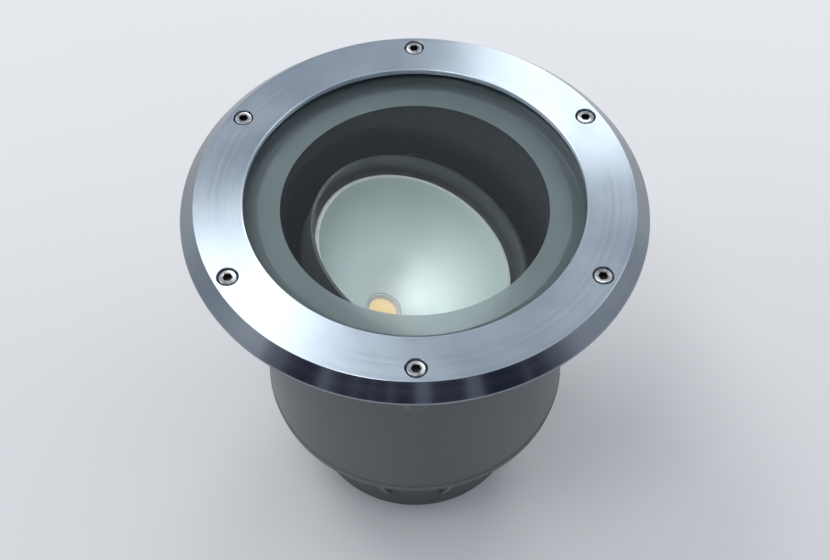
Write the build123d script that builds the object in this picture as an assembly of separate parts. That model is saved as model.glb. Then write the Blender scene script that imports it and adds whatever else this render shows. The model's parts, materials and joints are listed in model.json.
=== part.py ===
from build123d import *

import os
from math import atan2, cos, radians, sin

# In-ground well light: a can that is let into the ground, closed by a thick glass
# under a bevelled stainless trim ring that six cap screws pull down. Inside, a
# reflector with a chip-on-board lamp tilts in a yoke, and the yoke turns on a shelf.
# Millimetres. The origin is on the light's axis at the finished ground level, which
# is the underside of the trim ring. +Z is up. The head is shown as it was set when
# photographed, tilted towards +X.

# ---------------------------------------------------------------- driving sizes
# trim ring
RING_HEIGHT = 10.0
RING_EDGE_HEIGHT = 1.5  # upright edge under the bevel
RING_BEVEL_WIDTH = 8.4
RING_COVER = 9.2  # ring beyond the flange that it drops over
RING_OPENING_MARGIN = 4.6  # opening beyond the can's inner wall
RING_LIP_THICKNESS = 3.5  # what is left over the rim of the glass
RING_LIP_BREAK = 0.6  # small chamfer round the opening
RING_NEST_DEPTH = 1.0  # the housing's flange sits this far up inside the ring

# glass and its seals
GLASS_OVERLAP = 10.4  # glass under the ring's lip
GLASS_THICKNESS = 10.0
GLASS_EDGE_BREAK = 0.8
GLASS_POCKET_CLEARANCE = 1.0
BOND_THICKNESS = 1.0  # silicone between the lip and the glass
BOND_WIDTH = 8.0
FROST_THICKNESS = 0.3
FROST_INNER_RADIUS = 78.0
SEAT_SEAL_THICKNESS = 2.5
SEAT_SEAL_GRIP = 2.5  # seal over the shroud's flange

# ring screws, M6 socket head
SCREW_COUNT = 6
SCREW_CIRCLE_MARGIN = 8.3  # screws outside the glass pocket
SCREW_RADIUS = 3.0
SCREW_HEAD_RADIUS = 5.0
SCREW_HEAD_HEIGHT = 6.0
SCREW_HEX_ACROSS = 5.0
SCREW_HEX_DEPTH = 3.2
SCREW_HEAD_BREAK = 0.4
SCREW_TIP_BREAK = 0.5
SCREW_LENGTH = 24.0
SCREW_HEAD_SINK = 0.3  # head below the ring's top face
SCREW_POCKET_CLEARANCE = 1.0
SCREW_HOLE_CLEARANCE = 0.3
THREAD_CLEARANCE = 0.1
WASHER_THICKNESS = 0.8
SCREW_BOSS_WALL = 4.0
SCREW_BOSS_END = 4.0  # metal under the tip of the screw
SCREW_BOSS_WEB = 6.0
SCREW_START_ANGLE = 30.0  # two of the screws stand on the Y axis

# housing
FLANGE_CLEARANCE = 0.5  # between the flange and the ring round it
FLANGE_MARGIN = 7.0  # flange beyond the screw circle
FLANGE_FLOOR = 7.0  # metal under the seat
CAN_MARGIN = 9.0  # can's inner wall beyond the yoke
CAN_WALL = 4.0
CAN_FLOOR = 5.0
MOUTH_LEDGE = 2.5  # ledge inside the can's wall that carries the shroud
SHROUD_REBATE_CLEARANCE = 0.5
BAY_SET_IN = 26.0  # lower bay's wall inside the can's wall
BAY_WALL = 4.0
BAY_DEPTH = 68.0
GUSSET_COUNT = 12
GUSSET_THICKNESS = 4.0
GUSSET_DROP = 58.0
GUSSET_SET_IN = 3.0  # gusset inside the can's outer wall
GUSSET_TOE = 1.0
WELD_GAP = 0.3  # plates stand this far off a round wall that they are welded to
BAY_BOSS_RADIUS = 5.0
BAY_BOSS_HEIGHT = 16.0
BAY_BOSS_SET_IN = 1.5  # boss into the wall
BAY_SCREW_COUNT = 4
BAY_SCREW_START_ANGLE = 45.0

# glare shroud
SHROUD_CLEARANCE = 3.7  # beyond the pivot screws' heads
SHROUD_WALL = 1.2
SHROUD_FLANGE_THICKNESS = 1.5
SHROUD_FLANGE_SET_IN = 0.5  # the seat seal holds the flange down
SHROUD_GAP_BELOW = 4.8  # between the shroud's end and the shelf
SHROUD_MOUTH_GAP = 0.5  # between the shroud's funnel and the mouth of the flange
SHROUD_FUNNEL_DEPTH = 17.0  # the funnel lets the head be seen under the frosted band

# tilting head, measured along its own axis from the tilt axis
TILT_AXIS_DEPTH = 55.0
TILT_ANGLE = 20.0
REFLECTOR_RADIUS = 61.0
REFLECTOR_DEPTH = 58.0
REFLECTOR_THROAT_RADIUS = 12.0
REFLECTOR_WALL = 1.2
REFLECTOR_RIM_WIDTH = 2.5
REFLECTOR_RIM_THICKNESS = 1.5
REFLECTOR_LEDGE_GAP = 0.3
COLLAR_GAP = 4.0  # dark gap between the reflector's rim and the collar
COLLAR_WALL = 2.0
COLLAR_HEIGHT = 12.0
COLLAR_SKIRT = 10.0
LEDGE_THICKNESS = 2.0
HEAD_WALL = 2.0
HEAD_FLOOR = 2.0
SINK_RADIUS = 36.0
SINK_BASE = 6.0
SINK_FIN_LENGTH = 25.0
SINK_FIN_THICKNESS = 1.6
SINK_FIN_COUNT = 20
SINK_CORE_RADIUS = 10.0
SINK_PAD_RADIUS = 24.0
SINK_PAD_CLEARANCE = 0.3
SINK_SCREW_COUNT = 3
SINK_SCREW_START_ANGLE = 30.0
SINK_SCREW_GAP = 2.1  # screw heads outside the sink's pad
SINK_HOLE_FLOOR = 1.0  # metal left under the sink screws
HEAD_FOOT_GAP = 0.4  # head's wall outside the screw heads

# lamp
CHIP_SIDE = 24.0
CHIP_THICKNESS = 1.2
CHIP_POCKET_CLEARANCE = 0.2
PHOSPHOR_RADIUS = 9.2
PHOSPHOR_THICKNESS = 0.6
HOLDER_RADIUS = 23.0
HOLDER_THICKNESS = 3.7
HOLDER_SCREW_RADIUS = 17.6
HOLDER_SCREW_COUNT = 2
HOLDER_SCREW_START_ANGLE = 90.0
HOLDER_BEVEL = 0.6
HOLDER_WINDOW_MARGIN = 1.3  # window beyond the phosphor
HOLDER_SEAT_CLEARANCE = 0.3
HOLDER_SCREW_PROUD = 0.6  # screw heads above the holder's face
REFLECTOR_HOLDER_GAP = 0.3

# yoke that carries the head and turns
TRUNNION_RADIUS = 9.0
TRUNNION_HEIGHT = 2.4
TRUNNION_GAP = 0.4
ARM_THICKNESS = 2.5
ARM_WIDTH = 22.0
YOKE_THICKNESS = 3.0
YOKE_FOOT = 1.0  # ring inside the arms
YOKE_MARGIN = 3.0  # yoke beyond the inside of the shroud
YOKE_DROP = 43.0  # underside of the yoke's ring below the tilt axis
PIVOT_RADIUS = 2.5
PIVOT_CLEARANCE = 0.05
PIVOT_GRIP = 3.0  # how far the pivot goes into the head
PIVOT_BORE_END = 0.3  # bore beyond the pivot's end, blind so that the cup stays closed
PIVOT_HEAD_RADIUS = 4.5
PIVOT_HEAD_HEIGHT = 3.0
PIVOT_HEAD_BEVEL = 0.5
PIVOT_HEX_ACROSS = 4.0
PIVOT_HEX_DEPTH = 1.5
PIVOT_WASHER_RADIUS = 5.5
PIVOT_WASHER_THICKNESS = 0.5
SWIVEL_GAP = 0.2

# shelf that the yoke turns on
SHELF_THICKNESS = 3.0
SHELF_SET_BACK = 2.7  # shelf's bore beyond the yoke's
SHELF_WALL_GAP = 0.4
POST_COUNT = 3
POST_START_ANGLE = 60.0
POST_RADIUS = 5.5
CLIP_WIDTH = 12.0
CLIP_THICKNESS = 2.0
CLIP_REACH = 4.5
CLIP_WALL_GAP = 1.5

# tray, driver and terminals
HEAD_FLOOR_GAP = 6.0  # below the lowest swing of the heat sink
TRAY_THICKNESS = 2.0
TRAY_POST_GAP = 3.7
TRAY_SCREW_COUNT = 3
TRAY_SCREW_START_ANGLE = 90.0
TRAY_HOLE_FLOOR = 1.0  # metal left under the tray screws
TRAY_WIRE_HOLE_RADIUS = 9.0
DRIVER_LENGTH = 100.0
DRIVER_WIDTH = 46.0
DRIVER_HEIGHT = 28.0
DRIVER_OFFSET = 18.0
DRIVER_EDGE = 2.0
TERMINAL_POLES = 4
TERMINAL_PITCH = 11.0
TERMINAL_WIDTH = 20.0
TERMINAL_HEIGHT = 19.0
TERMINAL_OFFSET = 37.0
TERMINAL_WIRE_RADIUS = 2.75
TERMINAL_WELL_RADIUS = 3.6
TERMINAL_WELL_DEPTH = 3.2
TERMINAL_SCREW_CLEARANCE = 0.2
TERMINAL_SCREW_HEIGHT = 2.0
EARTH_ANGLE = 145.0
EARTH_SET_IN = 14.0  # post inside the bay's wall
EARTH_STUD_RADIUS = 2.5
EARTH_STUD_LENGTH = 14.0
EARTH_NUT_ACROSS = 8.0
EARTH_NUT_THICKNESS = 4.0
EARTH_PLATE_RADIUS = 5.0
EARTH_PLATE_THICKNESS = 2.0

# cable glands in the bay's wall, M20
GLAND_ANGLES = (75.0, 105.0)
GLAND_DEPTH = 38.0  # below the underside of the can
GLAND_THREAD_RADIUS = 10.0
GLAND_HOLE_CLEARANCE = 0.2
GLAND_BOSS_RADIUS = 15.0
GLAND_BOSS_PROUD = 3.0
GLAND_HEX_ACROSS = 24.0
GLAND_HEX_THICKNESS = 5.0
GLAND_NUT_LENGTH = 14.0
GLAND_NUT_RADIUS = 11.0
GLAND_NUT_MOUTH_RADIUS = 6.5
GLAND_NUT_GAP = 0.3
GLAND_DOME_BEVEL = 3.0
GLAND_NECK_RADIUS = 9.2
GLAND_SLIDE_GAP = 0.1
GLAND_SEAL_RADIUS = 7.5
CABLE_HOLE_RADIUS = 4.25
LOCKNUT_THICKNESS = 5.0
LOCKNUT_SET_IN = 1.5  # a flat nut meets the round wall at its corners
GLAND_THREAD_END = 3.0  # thread inside the locknut
GLAND_SHOULDER_GAP = 1.0  # between the neck's end and the nut's shoulder

# breather plug
VENT_ANGLE = 180.0
VENT_RADIUS = 6.0
VENT_HEAD_RADIUS = 8.0
VENT_HEAD_THICKNESS = 5.0
VENT_BOSS_RADIUS = 10.0
VENT_THREAD_END = 1.0
VENT_HEAD_BEVEL = 1.0
VENT_SLOT_COUNT = 3
VENT_SLOT_WIDTH = 1.4

# base cover
BASE_THICKNESS = 5.0
BASE_SEAL_WIDTH = 2.0
BASE_SEAL_THICKNESS = 1.0
BASE_BEVEL = 1.0
BASE_SCREW_CLEARANCE = 0.4
BASE_SCREW_SINK = 0.3

# small screws, M4
SMALL_SCREW_RADIUS = 2.0
SMALL_HEAD_RADIUS = 3.6
SMALL_HEAD_HEIGHT = 2.4
SMALL_HEAD_ROUND = 1.0
SMALL_SLOT_WIDTH = 1.0
SMALL_SLOT_DEPTH = 1.2
SMALL_SCREW_LENGTH = 9.0
SMALL_HOLE_CLEARANCE = 0.15

PAST = 1.0  # how far a cutting shape runs past the face it cuts through

# ---------------------------------------------------------------- levels and radii
# radii, from the reflector outwards
collar_inner = REFLECTOR_RADIUS + REFLECTOR_RIM_WIDTH + COLLAR_GAP
collar_outer = collar_inner + COLLAR_WALL
trunnion_end = collar_outer + TRUNNION_HEIGHT
arm_inner = trunnion_end + TRUNNION_GAP
arm_outer = arm_inner + ARM_THICKNESS
pivot_washer_end = arm_outer + PIVOT_WASHER_THICKNESS
pivot_end = pivot_washer_end + PIVOT_HEAD_HEIGHT
shroud_inner = pivot_end + SHROUD_CLEARANCE
shroud_outer = shroud_inner + SHROUD_WALL
yoke_inner = arm_inner - YOKE_FOOT
yoke_outer = shroud_inner + YOKE_MARGIN
shelf_inner = yoke_inner + SHELF_SET_BACK
can_inner = yoke_outer + CAN_MARGIN
can_outer = can_inner + CAN_WALL
shelf_radius = can_inner - SHELF_WALL_GAP
post_circle_radius = can_inner - POST_RADIUS - WELD_GAP
mouth_radius = can_inner - MOUTH_LEDGE
shroud_flange_radius = can_inner - SHROUD_FLANGE_SET_IN
seat_seal_inner = shroud_flange_radius - SEAT_SEAL_GRIP
funnel_outer = mouth_radius - SHROUD_MOUTH_GAP
funnel_inner = funnel_outer - SHROUD_WALL
bay_inner = can_inner - BAY_SET_IN
bay_outer = bay_inner + BAY_WALL
tray_radius = post_circle_radius - POST_RADIUS - TRAY_POST_GAP
tray_screw_radius = (bay_inner + tray_radius) / 2
base_screw_radius = bay_inner - BAY_BOSS_RADIUS + BAY_BOSS_SET_IN
ring_opening = can_inner + RING_OPENING_MARGIN
glass_radius = ring_opening + GLASS_OVERLAP
pocket_radius = glass_radius + GLASS_POCKET_CLEARANCE
screw_circle_radius = pocket_radius + SCREW_CIRCLE_MARGIN
flange_radius = screw_circle_radius + FLANGE_MARGIN
ring_nest_radius = flange_radius + FLANGE_CLEARANCE
ring_radius = ring_nest_radius + RING_COVER
ring_face_radius = ring_radius - RING_BEVEL_WIDTH
screw_pocket_radius = SCREW_HEAD_RADIUS + SCREW_POCKET_CLEARANCE
screw_boss_radius = SCREW_RADIUS + SCREW_BOSS_WALL

# foot of the head, from the heat sink's pad outwards
sink_screw_radius = SINK_PAD_RADIUS + SINK_PAD_CLEARANCE + SINK_SCREW_GAP + SMALL_HEAD_RADIUS
head_floor_radius = sink_screw_radius + SMALL_HEAD_RADIUS + HEAD_FOOT_GAP
head_foot_radius = head_floor_radius + 2 * HEAD_WALL

# levels under the glass
ring_top = RING_HEIGHT
lip_underside = ring_top - RING_LIP_THICKNESS
glass_top = lip_underside - BOND_THICKNESS
glass_bottom = glass_top - GLASS_THICKNESS
frost_bottom = glass_bottom - FROST_THICKNESS
seat_level = frost_bottom - SEAT_SEAL_THICKNESS
shroud_flange_bottom = seat_level - SHROUD_FLANGE_THICKNESS
flange_top = RING_NEST_DEPTH
flange_bottom = seat_level - FLANGE_FLOOR
screw_head_top = ring_top - SCREW_HEAD_SINK
screw_head_bottom = screw_head_top - SCREW_HEAD_HEIGHT
screw_pocket_floor = screw_head_bottom - WASHER_THICKNESS
screw_tip = screw_head_bottom - SCREW_LENGTH
screw_boss_bottom = screw_tip - SCREW_BOSS_END

# the head, along its own axis
ledge_top = -REFLECTOR_RIM_THICKNESS
holder_top = -REFLECTOR_DEPTH - REFLECTOR_HOLDER_GAP
pad_top = holder_top - HOLDER_THICKNESS
head_floor_top = pad_top
head_floor_bottom = head_floor_top - HEAD_FLOOR
sink_base_bottom = head_floor_bottom - SINK_BASE
sink_bottom = sink_base_bottom - SINK_FIN_LENGTH
holder_screw_seat = holder_top - SMALL_HEAD_HEIGHT + HOLDER_SCREW_PROUD

# levels of the can, from the swing of the head
tilt_axis_level = -TILT_AXIS_DEPTH
lowest_swing_angle = min(radians(TILT_ANGLE), atan2(SINK_RADIUS, -sink_bottom))
swing_drop = -sink_bottom * cos(lowest_swing_angle) + SINK_RADIUS * sin(lowest_swing_angle)
tray_top = tilt_axis_level - swing_drop - HEAD_FLOOR_GAP
can_floor_level = tray_top - TRAY_THICKNESS
can_bottom = can_floor_level - CAN_FLOOR
terminal_bottom = can_floor_level - TERMINAL_HEIGHT
bay_bottom = can_bottom - BAY_DEPTH
base_bottom = bay_bottom - BASE_THICKNESS
base_screw_seat = base_bottom + SMALL_HEAD_HEIGHT + BASE_SCREW_SINK
yoke_bottom = tilt_axis_level - YOKE_DROP
yoke_top = yoke_bottom + YOKE_THICKNESS
shelf_seat = yoke_bottom - SWIVEL_GAP
shelf_bottom = shelf_seat - SHELF_THICKNESS
shelf_top = yoke_top + SWIVEL_GAP
shroud_bottom = shelf_top + SHROUD_GAP_BELOW

# glands
gland_level = can_bottom - GLAND_DEPTH
gland_face = bay_outer + GLAND_BOSS_PROUD
gland_wall = GLAND_BOSS_PROUD + BAY_WALL
gland_thread_length = gland_wall + LOCKNUT_THICKNESS + GLAND_THREAD_END
gland_neck_end = GLAND_HEX_THICKNESS + GLAND_NUT_LENGTH / 2
gland_shoulder = gland_neck_end + GLAND_SHOULDER_GAP
gland_end = GLAND_HEX_THICKNESS + GLAND_NUT_LENGTH

head_place = Pos(0, 0, tilt_axis_level) * Rot(0, TILT_ANGLE, 0)


# ---------------------------------------------------------------- helpers
def disc(radius, bottom, top):
    return Pos(0, 0, bottom) * extrude(Circle(radius), top - bottom)


def washer(outer, inner, bottom, top):
    return Pos(0, 0, bottom) * extrude(Circle(outer) - Circle(inner), top - bottom)


def turned(*points):
    """A closed outline of (radius, height) points turned about Z."""
    return revolve(Plane.XZ * make_face(Polyline(*points, close=True)), Axis.Z)


def round_the_axis(shape, radius, count, start=0.0):
    """Copies of a shape at even angles round Z, at one radius."""
    angles = [start + 360.0 * n / count for n in range(count)]
    return [Rot(0, 0, a) * Pos(radius, 0, 0) * shape for a in angles]


def at_ring_screws(shape):
    return round_the_axis(shape, screw_circle_radius, SCREW_COUNT, SCREW_START_ANGLE)


def at_base_screws(shape):
    return round_the_axis(shape, base_screw_radius, BAY_SCREW_COUNT, BAY_SCREW_START_ANGLE)


def at_shelf_posts(shape):
    return round_the_axis(shape, post_circle_radius, POST_COUNT, POST_START_ANGLE)


def at_tray_screws(shape):
    return round_the_axis(shape, tray_screw_radius, TRAY_SCREW_COUNT, TRAY_SCREW_START_ANGLE)


def at_sink_screws(shape):
    return round_the_axis(shape, sink_screw_radius, SINK_SCREW_COUNT, SINK_SCREW_START_ANGLE)


def at_holder_screws(shape):
    return round_the_axis(shape, HOLDER_SCREW_RADIUS, HOLDER_SCREW_COUNT, HOLDER_SCREW_START_ANGLE)


def group(shapes):
    return Compound(children=[solid for shape in shapes for solid in shape.solids()])


def cap_screw(head_top):
    """Socket head screw with its axis on Z and the top of its head at head_top."""
    head_bottom = head_top - SCREW_HEAD_HEIGHT
    head = disc(SCREW_HEAD_RADIUS, head_bottom, head_top)
    head = chamfer(head.edges().group_by(Axis.Z)[-1], SCREW_HEAD_BREAK)
    shank = disc(SCREW_RADIUS, head_bottom - SCREW_LENGTH, head_bottom)
    shank = chamfer(shank.edges().group_by(Axis.Z)[0], SCREW_TIP_BREAK)
    return head + shank - hexagon_prism(SCREW_HEX_ACROSS, head_top - SCREW_HEX_DEPTH, head_top)


def small_screw(head_bottom, length=SMALL_SCREW_LENGTH):
    """Slotted pan head screw pointing down, with its head seated at head_bottom."""
    head_top = head_bottom + SMALL_HEAD_HEIGHT
    head = disc(SMALL_HEAD_RADIUS, head_bottom, head_top)
    head = fillet(head.edges().group_by(Axis.Z)[-1], SMALL_HEAD_ROUND)
    shank = disc(SMALL_SCREW_RADIUS, head_bottom - length, head_bottom)
    slot = Box(3 * SMALL_HEAD_RADIUS, SMALL_SLOT_WIDTH, SMALL_SLOT_DEPTH)
    return head + shank - Pos(0, 0, head_top - SMALL_SLOT_DEPTH / 2) * slot


def small_hole(top, bottom):
    return disc(SMALL_SCREW_RADIUS + SMALL_HOLE_CLEARANCE, bottom, top)


def hexagon_prism(across, bottom, top):
    return Pos(0, 0, bottom) * extrude(RegularPolygon(across / 2, 6, major_radius=False), top - bottom)


# ---------------------------------------------------------------- cover
def make_trim_ring():
    body = turned(
        (ring_opening + RING_LIP_BREAK, ring_top),
        (ring_face_radius, ring_top),
        (ring_radius, RING_EDGE_HEIGHT),
        (ring_radius, 0),
        (ring_nest_radius, 0),
        (ring_nest_radius, RING_NEST_DEPTH),
        (pocket_radius, RING_NEST_DEPTH),
        (pocket_radius, lip_underside),
        (ring_opening, lip_underside),
        (ring_opening, ring_top - RING_LIP_BREAK),
    )
    pocket = disc(screw_pocket_radius, screw_pocket_floor, ring_top + PAST)
    hole = disc(SCREW_RADIUS + SCREW_HOLE_CLEARANCE, -PAST, ring_top)
    return body - at_ring_screws(pocket + hole)


def make_ring_screws():
    return group(at_ring_screws(cap_screw(screw_head_top)))


def make_screw_washers():
    one = washer(
        SCREW_HEAD_RADIUS + SCREW_POCKET_CLEARANCE / 2,
        SCREW_RADIUS + SCREW_HOLE_CLEARANCE / 2,
        screw_pocket_floor,
        screw_head_bottom,
    )
    return group(at_ring_screws(one))


def make_cover_glass():
    glass = disc(glass_radius, glass_bottom, glass_top)
    return chamfer(glass.edges(), GLASS_EDGE_BREAK)


def make_frosted_band():
    return washer(glass_radius - GLASS_EDGE_BREAK, FROST_INNER_RADIUS, frost_bottom, glass_bottom)


def make_glass_bond():
    outer = glass_radius - GLASS_EDGE_BREAK
    return washer(outer, outer - BOND_WIDTH, glass_top, lip_underside)


# ---------------------------------------------------------------- housing
def gland_frame(angle):
    """A place on the face of a gland's boss, with its Z axis pointing outwards."""
    return Rot(0, 0, angle) * Pos(gland_face, 0, gland_level) * Rot(0, 90, 0)


def make_seat_flange():
    """Turned ring that the glass seats in, with the shroud's ledge inside it."""
    ring = turned(
        (pocket_radius, flange_top),
        (flange_radius, flange_top),
        (flange_radius, flange_bottom),
        (mouth_radius, flange_bottom),
        (mouth_radius, shroud_flange_bottom),
        (shroud_flange_radius + SHROUD_REBATE_CLEARANCE, shroud_flange_bottom),
        (shroud_flange_radius + SHROUD_REBATE_CLEARANCE, seat_level),
        (pocket_radius, seat_level),
    )
    return ring - at_ring_screws(ring_thread())


def ring_thread():
    return disc(SCREW_RADIUS + THREAD_CLEARANCE, screw_tip - PAST, flange_top + PAST)


def make_screw_bosses():
    """Blind bosses under the flange, each with a web that is welded to the can."""
    boss = disc(screw_boss_radius, screw_boss_bottom, flange_bottom)
    web_length = screw_circle_radius - can_outer - WELD_GAP
    web_height = flange_bottom - screw_boss_bottom
    web = Box(web_length, SCREW_BOSS_WEB, web_height)
    web = Pos(-web_length / 2, 0, flange_bottom - web_height / 2) * web
    one = boss + web - ring_thread()
    return group(at_ring_screws(one))


def make_can_wall():
    return washer(can_outer, can_inner, can_floor_level, flange_bottom)


def make_can_floor():
    plate = washer(can_outer, bay_inner, can_bottom, can_floor_level)
    tray_hole = small_hole(can_floor_level + PAST, can_bottom + TRAY_HOLE_FLOOR)
    return plate - at_tray_screws(tray_hole)


def make_shelf_posts():
    post = disc(POST_RADIUS, can_floor_level, shelf_bottom)
    post -= small_hole(shelf_bottom + PAST, shelf_bottom - SMALL_SCREW_LENGTH)
    return group(at_shelf_posts(post))


def make_bay_wall():
    """Tube below the can with the gland and vent bosses and the base cover's bosses."""
    wall = disc(bay_outer, bay_bottom, can_bottom)
    for angle in GLAND_ANGLES:
        wall += gland_frame(angle) * disc(GLAND_BOSS_RADIUS, -gland_wall, 0)
    wall += gland_frame(VENT_ANGLE) * disc(VENT_BOSS_RADIUS, -gland_wall, 0)
    wall -= disc(bay_inner, bay_bottom - PAST, can_bottom + PAST)
    boss = disc(BAY_BOSS_RADIUS, bay_bottom, bay_bottom + BAY_BOSS_HEIGHT)
    wall += at_base_screws(boss)
    base_hole = small_hole(bay_bottom + SMALL_SCREW_LENGTH, bay_bottom - PAST)
    wall -= at_base_screws(base_hole)
    gland_hole = disc(GLAND_THREAD_RADIUS + GLAND_HOLE_CLEARANCE, -gland_thread_length, PAST)
    vent_hole = disc(VENT_RADIUS + GLAND_HOLE_CLEARANCE, -gland_thread_length, PAST)
    wall -= [gland_frame(angle) * gland_hole for angle in GLAND_ANGLES]
    return wall - gland_frame(VENT_ANGLE) * vent_hole


def make_gussets():
    """Plates that brace the bay under the can, left out at the glands and the vent."""
    top_radius = can_outer - GUSSET_SET_IN
    root = bay_outer + WELD_GAP
    outline = Polyline(
        (root, can_bottom),
        (top_radius, can_bottom),
        (top_radius, can_bottom - GUSSET_THICKNESS),
        (root + GUSSET_TOE, can_bottom - GUSSET_DROP),
        (root, can_bottom - GUSSET_DROP),
        close=True,
    )
    plate = extrude(Plane.XZ * make_face(outline), GUSSET_THICKNESS / 2, both=True)
    step = 360.0 / GUSSET_COUNT
    angles = [step / 2 + step * n for n in range(GUSSET_COUNT)]
    clear = [a for a in angles if all(abs(a - g) >= step / 2 for g in (*GLAND_ANGLES, VENT_ANGLE))]
    return group([Rot(0, 0, a) * plate for a in clear])


def make_seat_seal():
    return washer(glass_radius, seat_seal_inner, seat_level, frost_bottom)


def make_base_cover():
    cover = disc(bay_outer, base_bottom, bay_bottom)
    cover = chamfer(cover.edges().group_by(Axis.Z)[0], BASE_BEVEL)
    sink = disc(SMALL_HEAD_RADIUS + BASE_SCREW_CLEARANCE, base_bottom - PAST, base_screw_seat)
    hole = small_hole(bay_bottom + PAST, base_bottom)
    return cover - make_base_seal() - at_base_screws(sink + hole)


def make_base_seal():
    mid = bay_inner + BAY_WALL / 2
    return washer(
        mid + BASE_SEAL_WIDTH / 2, mid - BASE_SEAL_WIDTH / 2, bay_bottom - BASE_SEAL_THICKNESS, bay_bottom
    )


def make_base_screws():
    one = Pos(0, 0, base_screw_seat) * Rot(180, 0, 0) * small_screw(0)
    return group(at_base_screws(one))


# ---------------------------------------------------------------- shroud and shelf
def make_glare_shroud():
    """Black tube with a funnel at its top, hung by a flange on the housing's ledge."""
    return turned(
        (funnel_inner, seat_level),
        (shroud_flange_radius, seat_level),
        (shroud_flange_radius, shroud_flange_bottom),
        (funnel_outer, shroud_flange_bottom),
        (shroud_outer, shroud_flange_bottom - SHROUD_FUNNEL_DEPTH),
        (shroud_outer, shroud_bottom),
        (shroud_inner, shroud_bottom),
        (shroud_inner, seat_level - SHROUD_FUNNEL_DEPTH),
    )


def make_shelf():
    ring = turned(
        (shelf_inner, shelf_bottom),
        (shelf_radius, shelf_bottom),
        (shelf_radius, shelf_top),
        (yoke_outer + SWIVEL_GAP, shelf_top),
        (yoke_outer + SWIVEL_GAP, shelf_seat),
        (shelf_inner, shelf_seat),
    )
    hole = small_hole(shelf_top + PAST, shelf_bottom - PAST)
    return ring - at_shelf_posts(hole)


def make_shelf_clips():
    inner = yoke_outer - CLIP_REACH
    outer = can_inner - CLIP_WALL_GAP
    plate = Box(outer - inner, CLIP_WIDTH, CLIP_THICKNESS)
    plate = Pos((inner + outer) / 2 - post_circle_radius, 0, shelf_top + CLIP_THICKNESS / 2) * plate
    hole = small_hole(shelf_top + CLIP_THICKNESS + PAST, shelf_top - PAST)
    return group(at_shelf_posts(plate - hole))


def make_shelf_screws():
    one = small_screw(shelf_top + CLIP_THICKNESS)
    return group(at_shelf_posts(one))


# ---------------------------------------------------------------- yoke
def make_yoke():
    ring = washer(yoke_outer, yoke_inner, yoke_bottom, yoke_top)
    outline = Pos(0, -YOKE_DROP / 2) * Rectangle(ARM_WIDTH, YOKE_DROP) + Circle(ARM_WIDTH / 2)
    arm = Plane.XZ * extrude(outline - Circle(PIVOT_RADIUS + PIVOT_CLEARANCE), ARM_THICKNESS)
    front = Pos(0, -arm_inner, tilt_axis_level) * arm
    return ring + front + Rot(0, 0, 180) * front


def make_pivot_screws():
    """Shoulder screws that the head tilts on, one through each arm."""
    stem = disc(PIVOT_RADIUS, trunnion_end - PIVOT_GRIP, pivot_washer_end)
    head = disc(PIVOT_HEAD_RADIUS, pivot_washer_end, pivot_end)
    head = chamfer(head.edges().group_by(Axis.Z)[-1], PIVOT_HEAD_BEVEL)
    socket = hexagon_prism(PIVOT_HEX_ACROSS, pivot_end - PIVOT_HEX_DEPTH, pivot_end + PAST)
    one = Pos(0, 0, tilt_axis_level) * Rot(90, 0, 0) * (stem + head - socket)
    return group([one, Rot(0, 0, 180) * one])


def make_pivot_washers():
    hole = PIVOT_RADIUS + PIVOT_CLEARANCE
    one = washer(PIVOT_WASHER_RADIUS, hole, arm_outer, pivot_washer_end)
    one = Pos(0, 0, tilt_axis_level) * Rot(90, 0, 0) * one
    return group([one, Rot(0, 0, 180) * one])


# ---------------------------------------------------------------- tilting head
def make_lamp_head():
    """Black cup round the reflector, with a floor that the heat sink bolts to."""
    ledge_inner = REFLECTOR_RADIUS + REFLECTOR_WALL + REFLECTOR_LEDGE_GAP
    shell = turned(
        (collar_inner, COLLAR_HEIGHT),
        (collar_outer, COLLAR_HEIGHT),
        (collar_outer, -COLLAR_SKIRT),
        (head_foot_radius, head_floor_bottom),
        (SINK_PAD_RADIUS + SINK_PAD_CLEARANCE, head_floor_bottom),
        (SINK_PAD_RADIUS + SINK_PAD_CLEARANCE, head_floor_top),
        (head_floor_radius, head_floor_top),
        (collar_outer - 2 * HEAD_WALL, -COLLAR_SKIRT - HEAD_WALL),
        (ledge_inner, ledge_top - LEDGE_THICKNESS - HEAD_WALL),
        (ledge_inner, ledge_top),
        (collar_inner, ledge_top),
    )
    pad = disc(TRUNNION_RADIUS, collar_outer - COLLAR_WALL / 2, trunnion_end)
    pads = [Rot(side, 0, 0) * pad for side in (90, -90)]
    bore_end = trunnion_end - PIVOT_GRIP - PIVOT_BORE_END
    bore = disc(PIVOT_RADIUS + PIVOT_CLEARANCE, bore_end, trunnion_end + PAST)
    bores = [Rot(side, 0, 0) * bore for side in (90, -90)]
    screw_hole = small_hole(head_floor_top + PAST, head_floor_bottom - PAST)
    holes = at_sink_screws(screw_hole)
    return head_place * (shell + pads - bores - holes)


def parabola_edge(throat, rim, depth):
    """One side of a parabola about Z, as the quadratic curve through throat and rim."""
    focal4 = (rim**2 - throat**2) / depth
    vertex = -depth - throat**2 / focal4
    middle = ((throat + rim) / 2, vertex + throat * rim / focal4)
    return Bezier((throat, -depth), middle, (rim, 0))


def make_reflector():
    inside = parabola_edge(REFLECTOR_THROAT_RADIUS, REFLECTOR_RADIUS, REFLECTOR_DEPTH)
    outside = parabola_edge(
        REFLECTOR_THROAT_RADIUS + REFLECTOR_WALL, REFLECTOR_RADIUS + REFLECTOR_WALL, REFLECTOR_DEPTH
    )
    top = Line(inside @ 1, outside @ 1)
    bottom = Line(outside @ 0, inside @ 0)
    bowl = revolve(Plane.XZ * make_face(Wire([inside, top, outside, bottom])), Axis.Z)
    rim_outer = REFLECTOR_RADIUS + REFLECTOR_RIM_WIDTH
    rim_inner = REFLECTOR_RADIUS + REFLECTOR_WALL / 4
    return head_place * (bowl + washer(rim_outer, rim_inner, -REFLECTOR_RIM_THICKNESS, 0))


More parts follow.
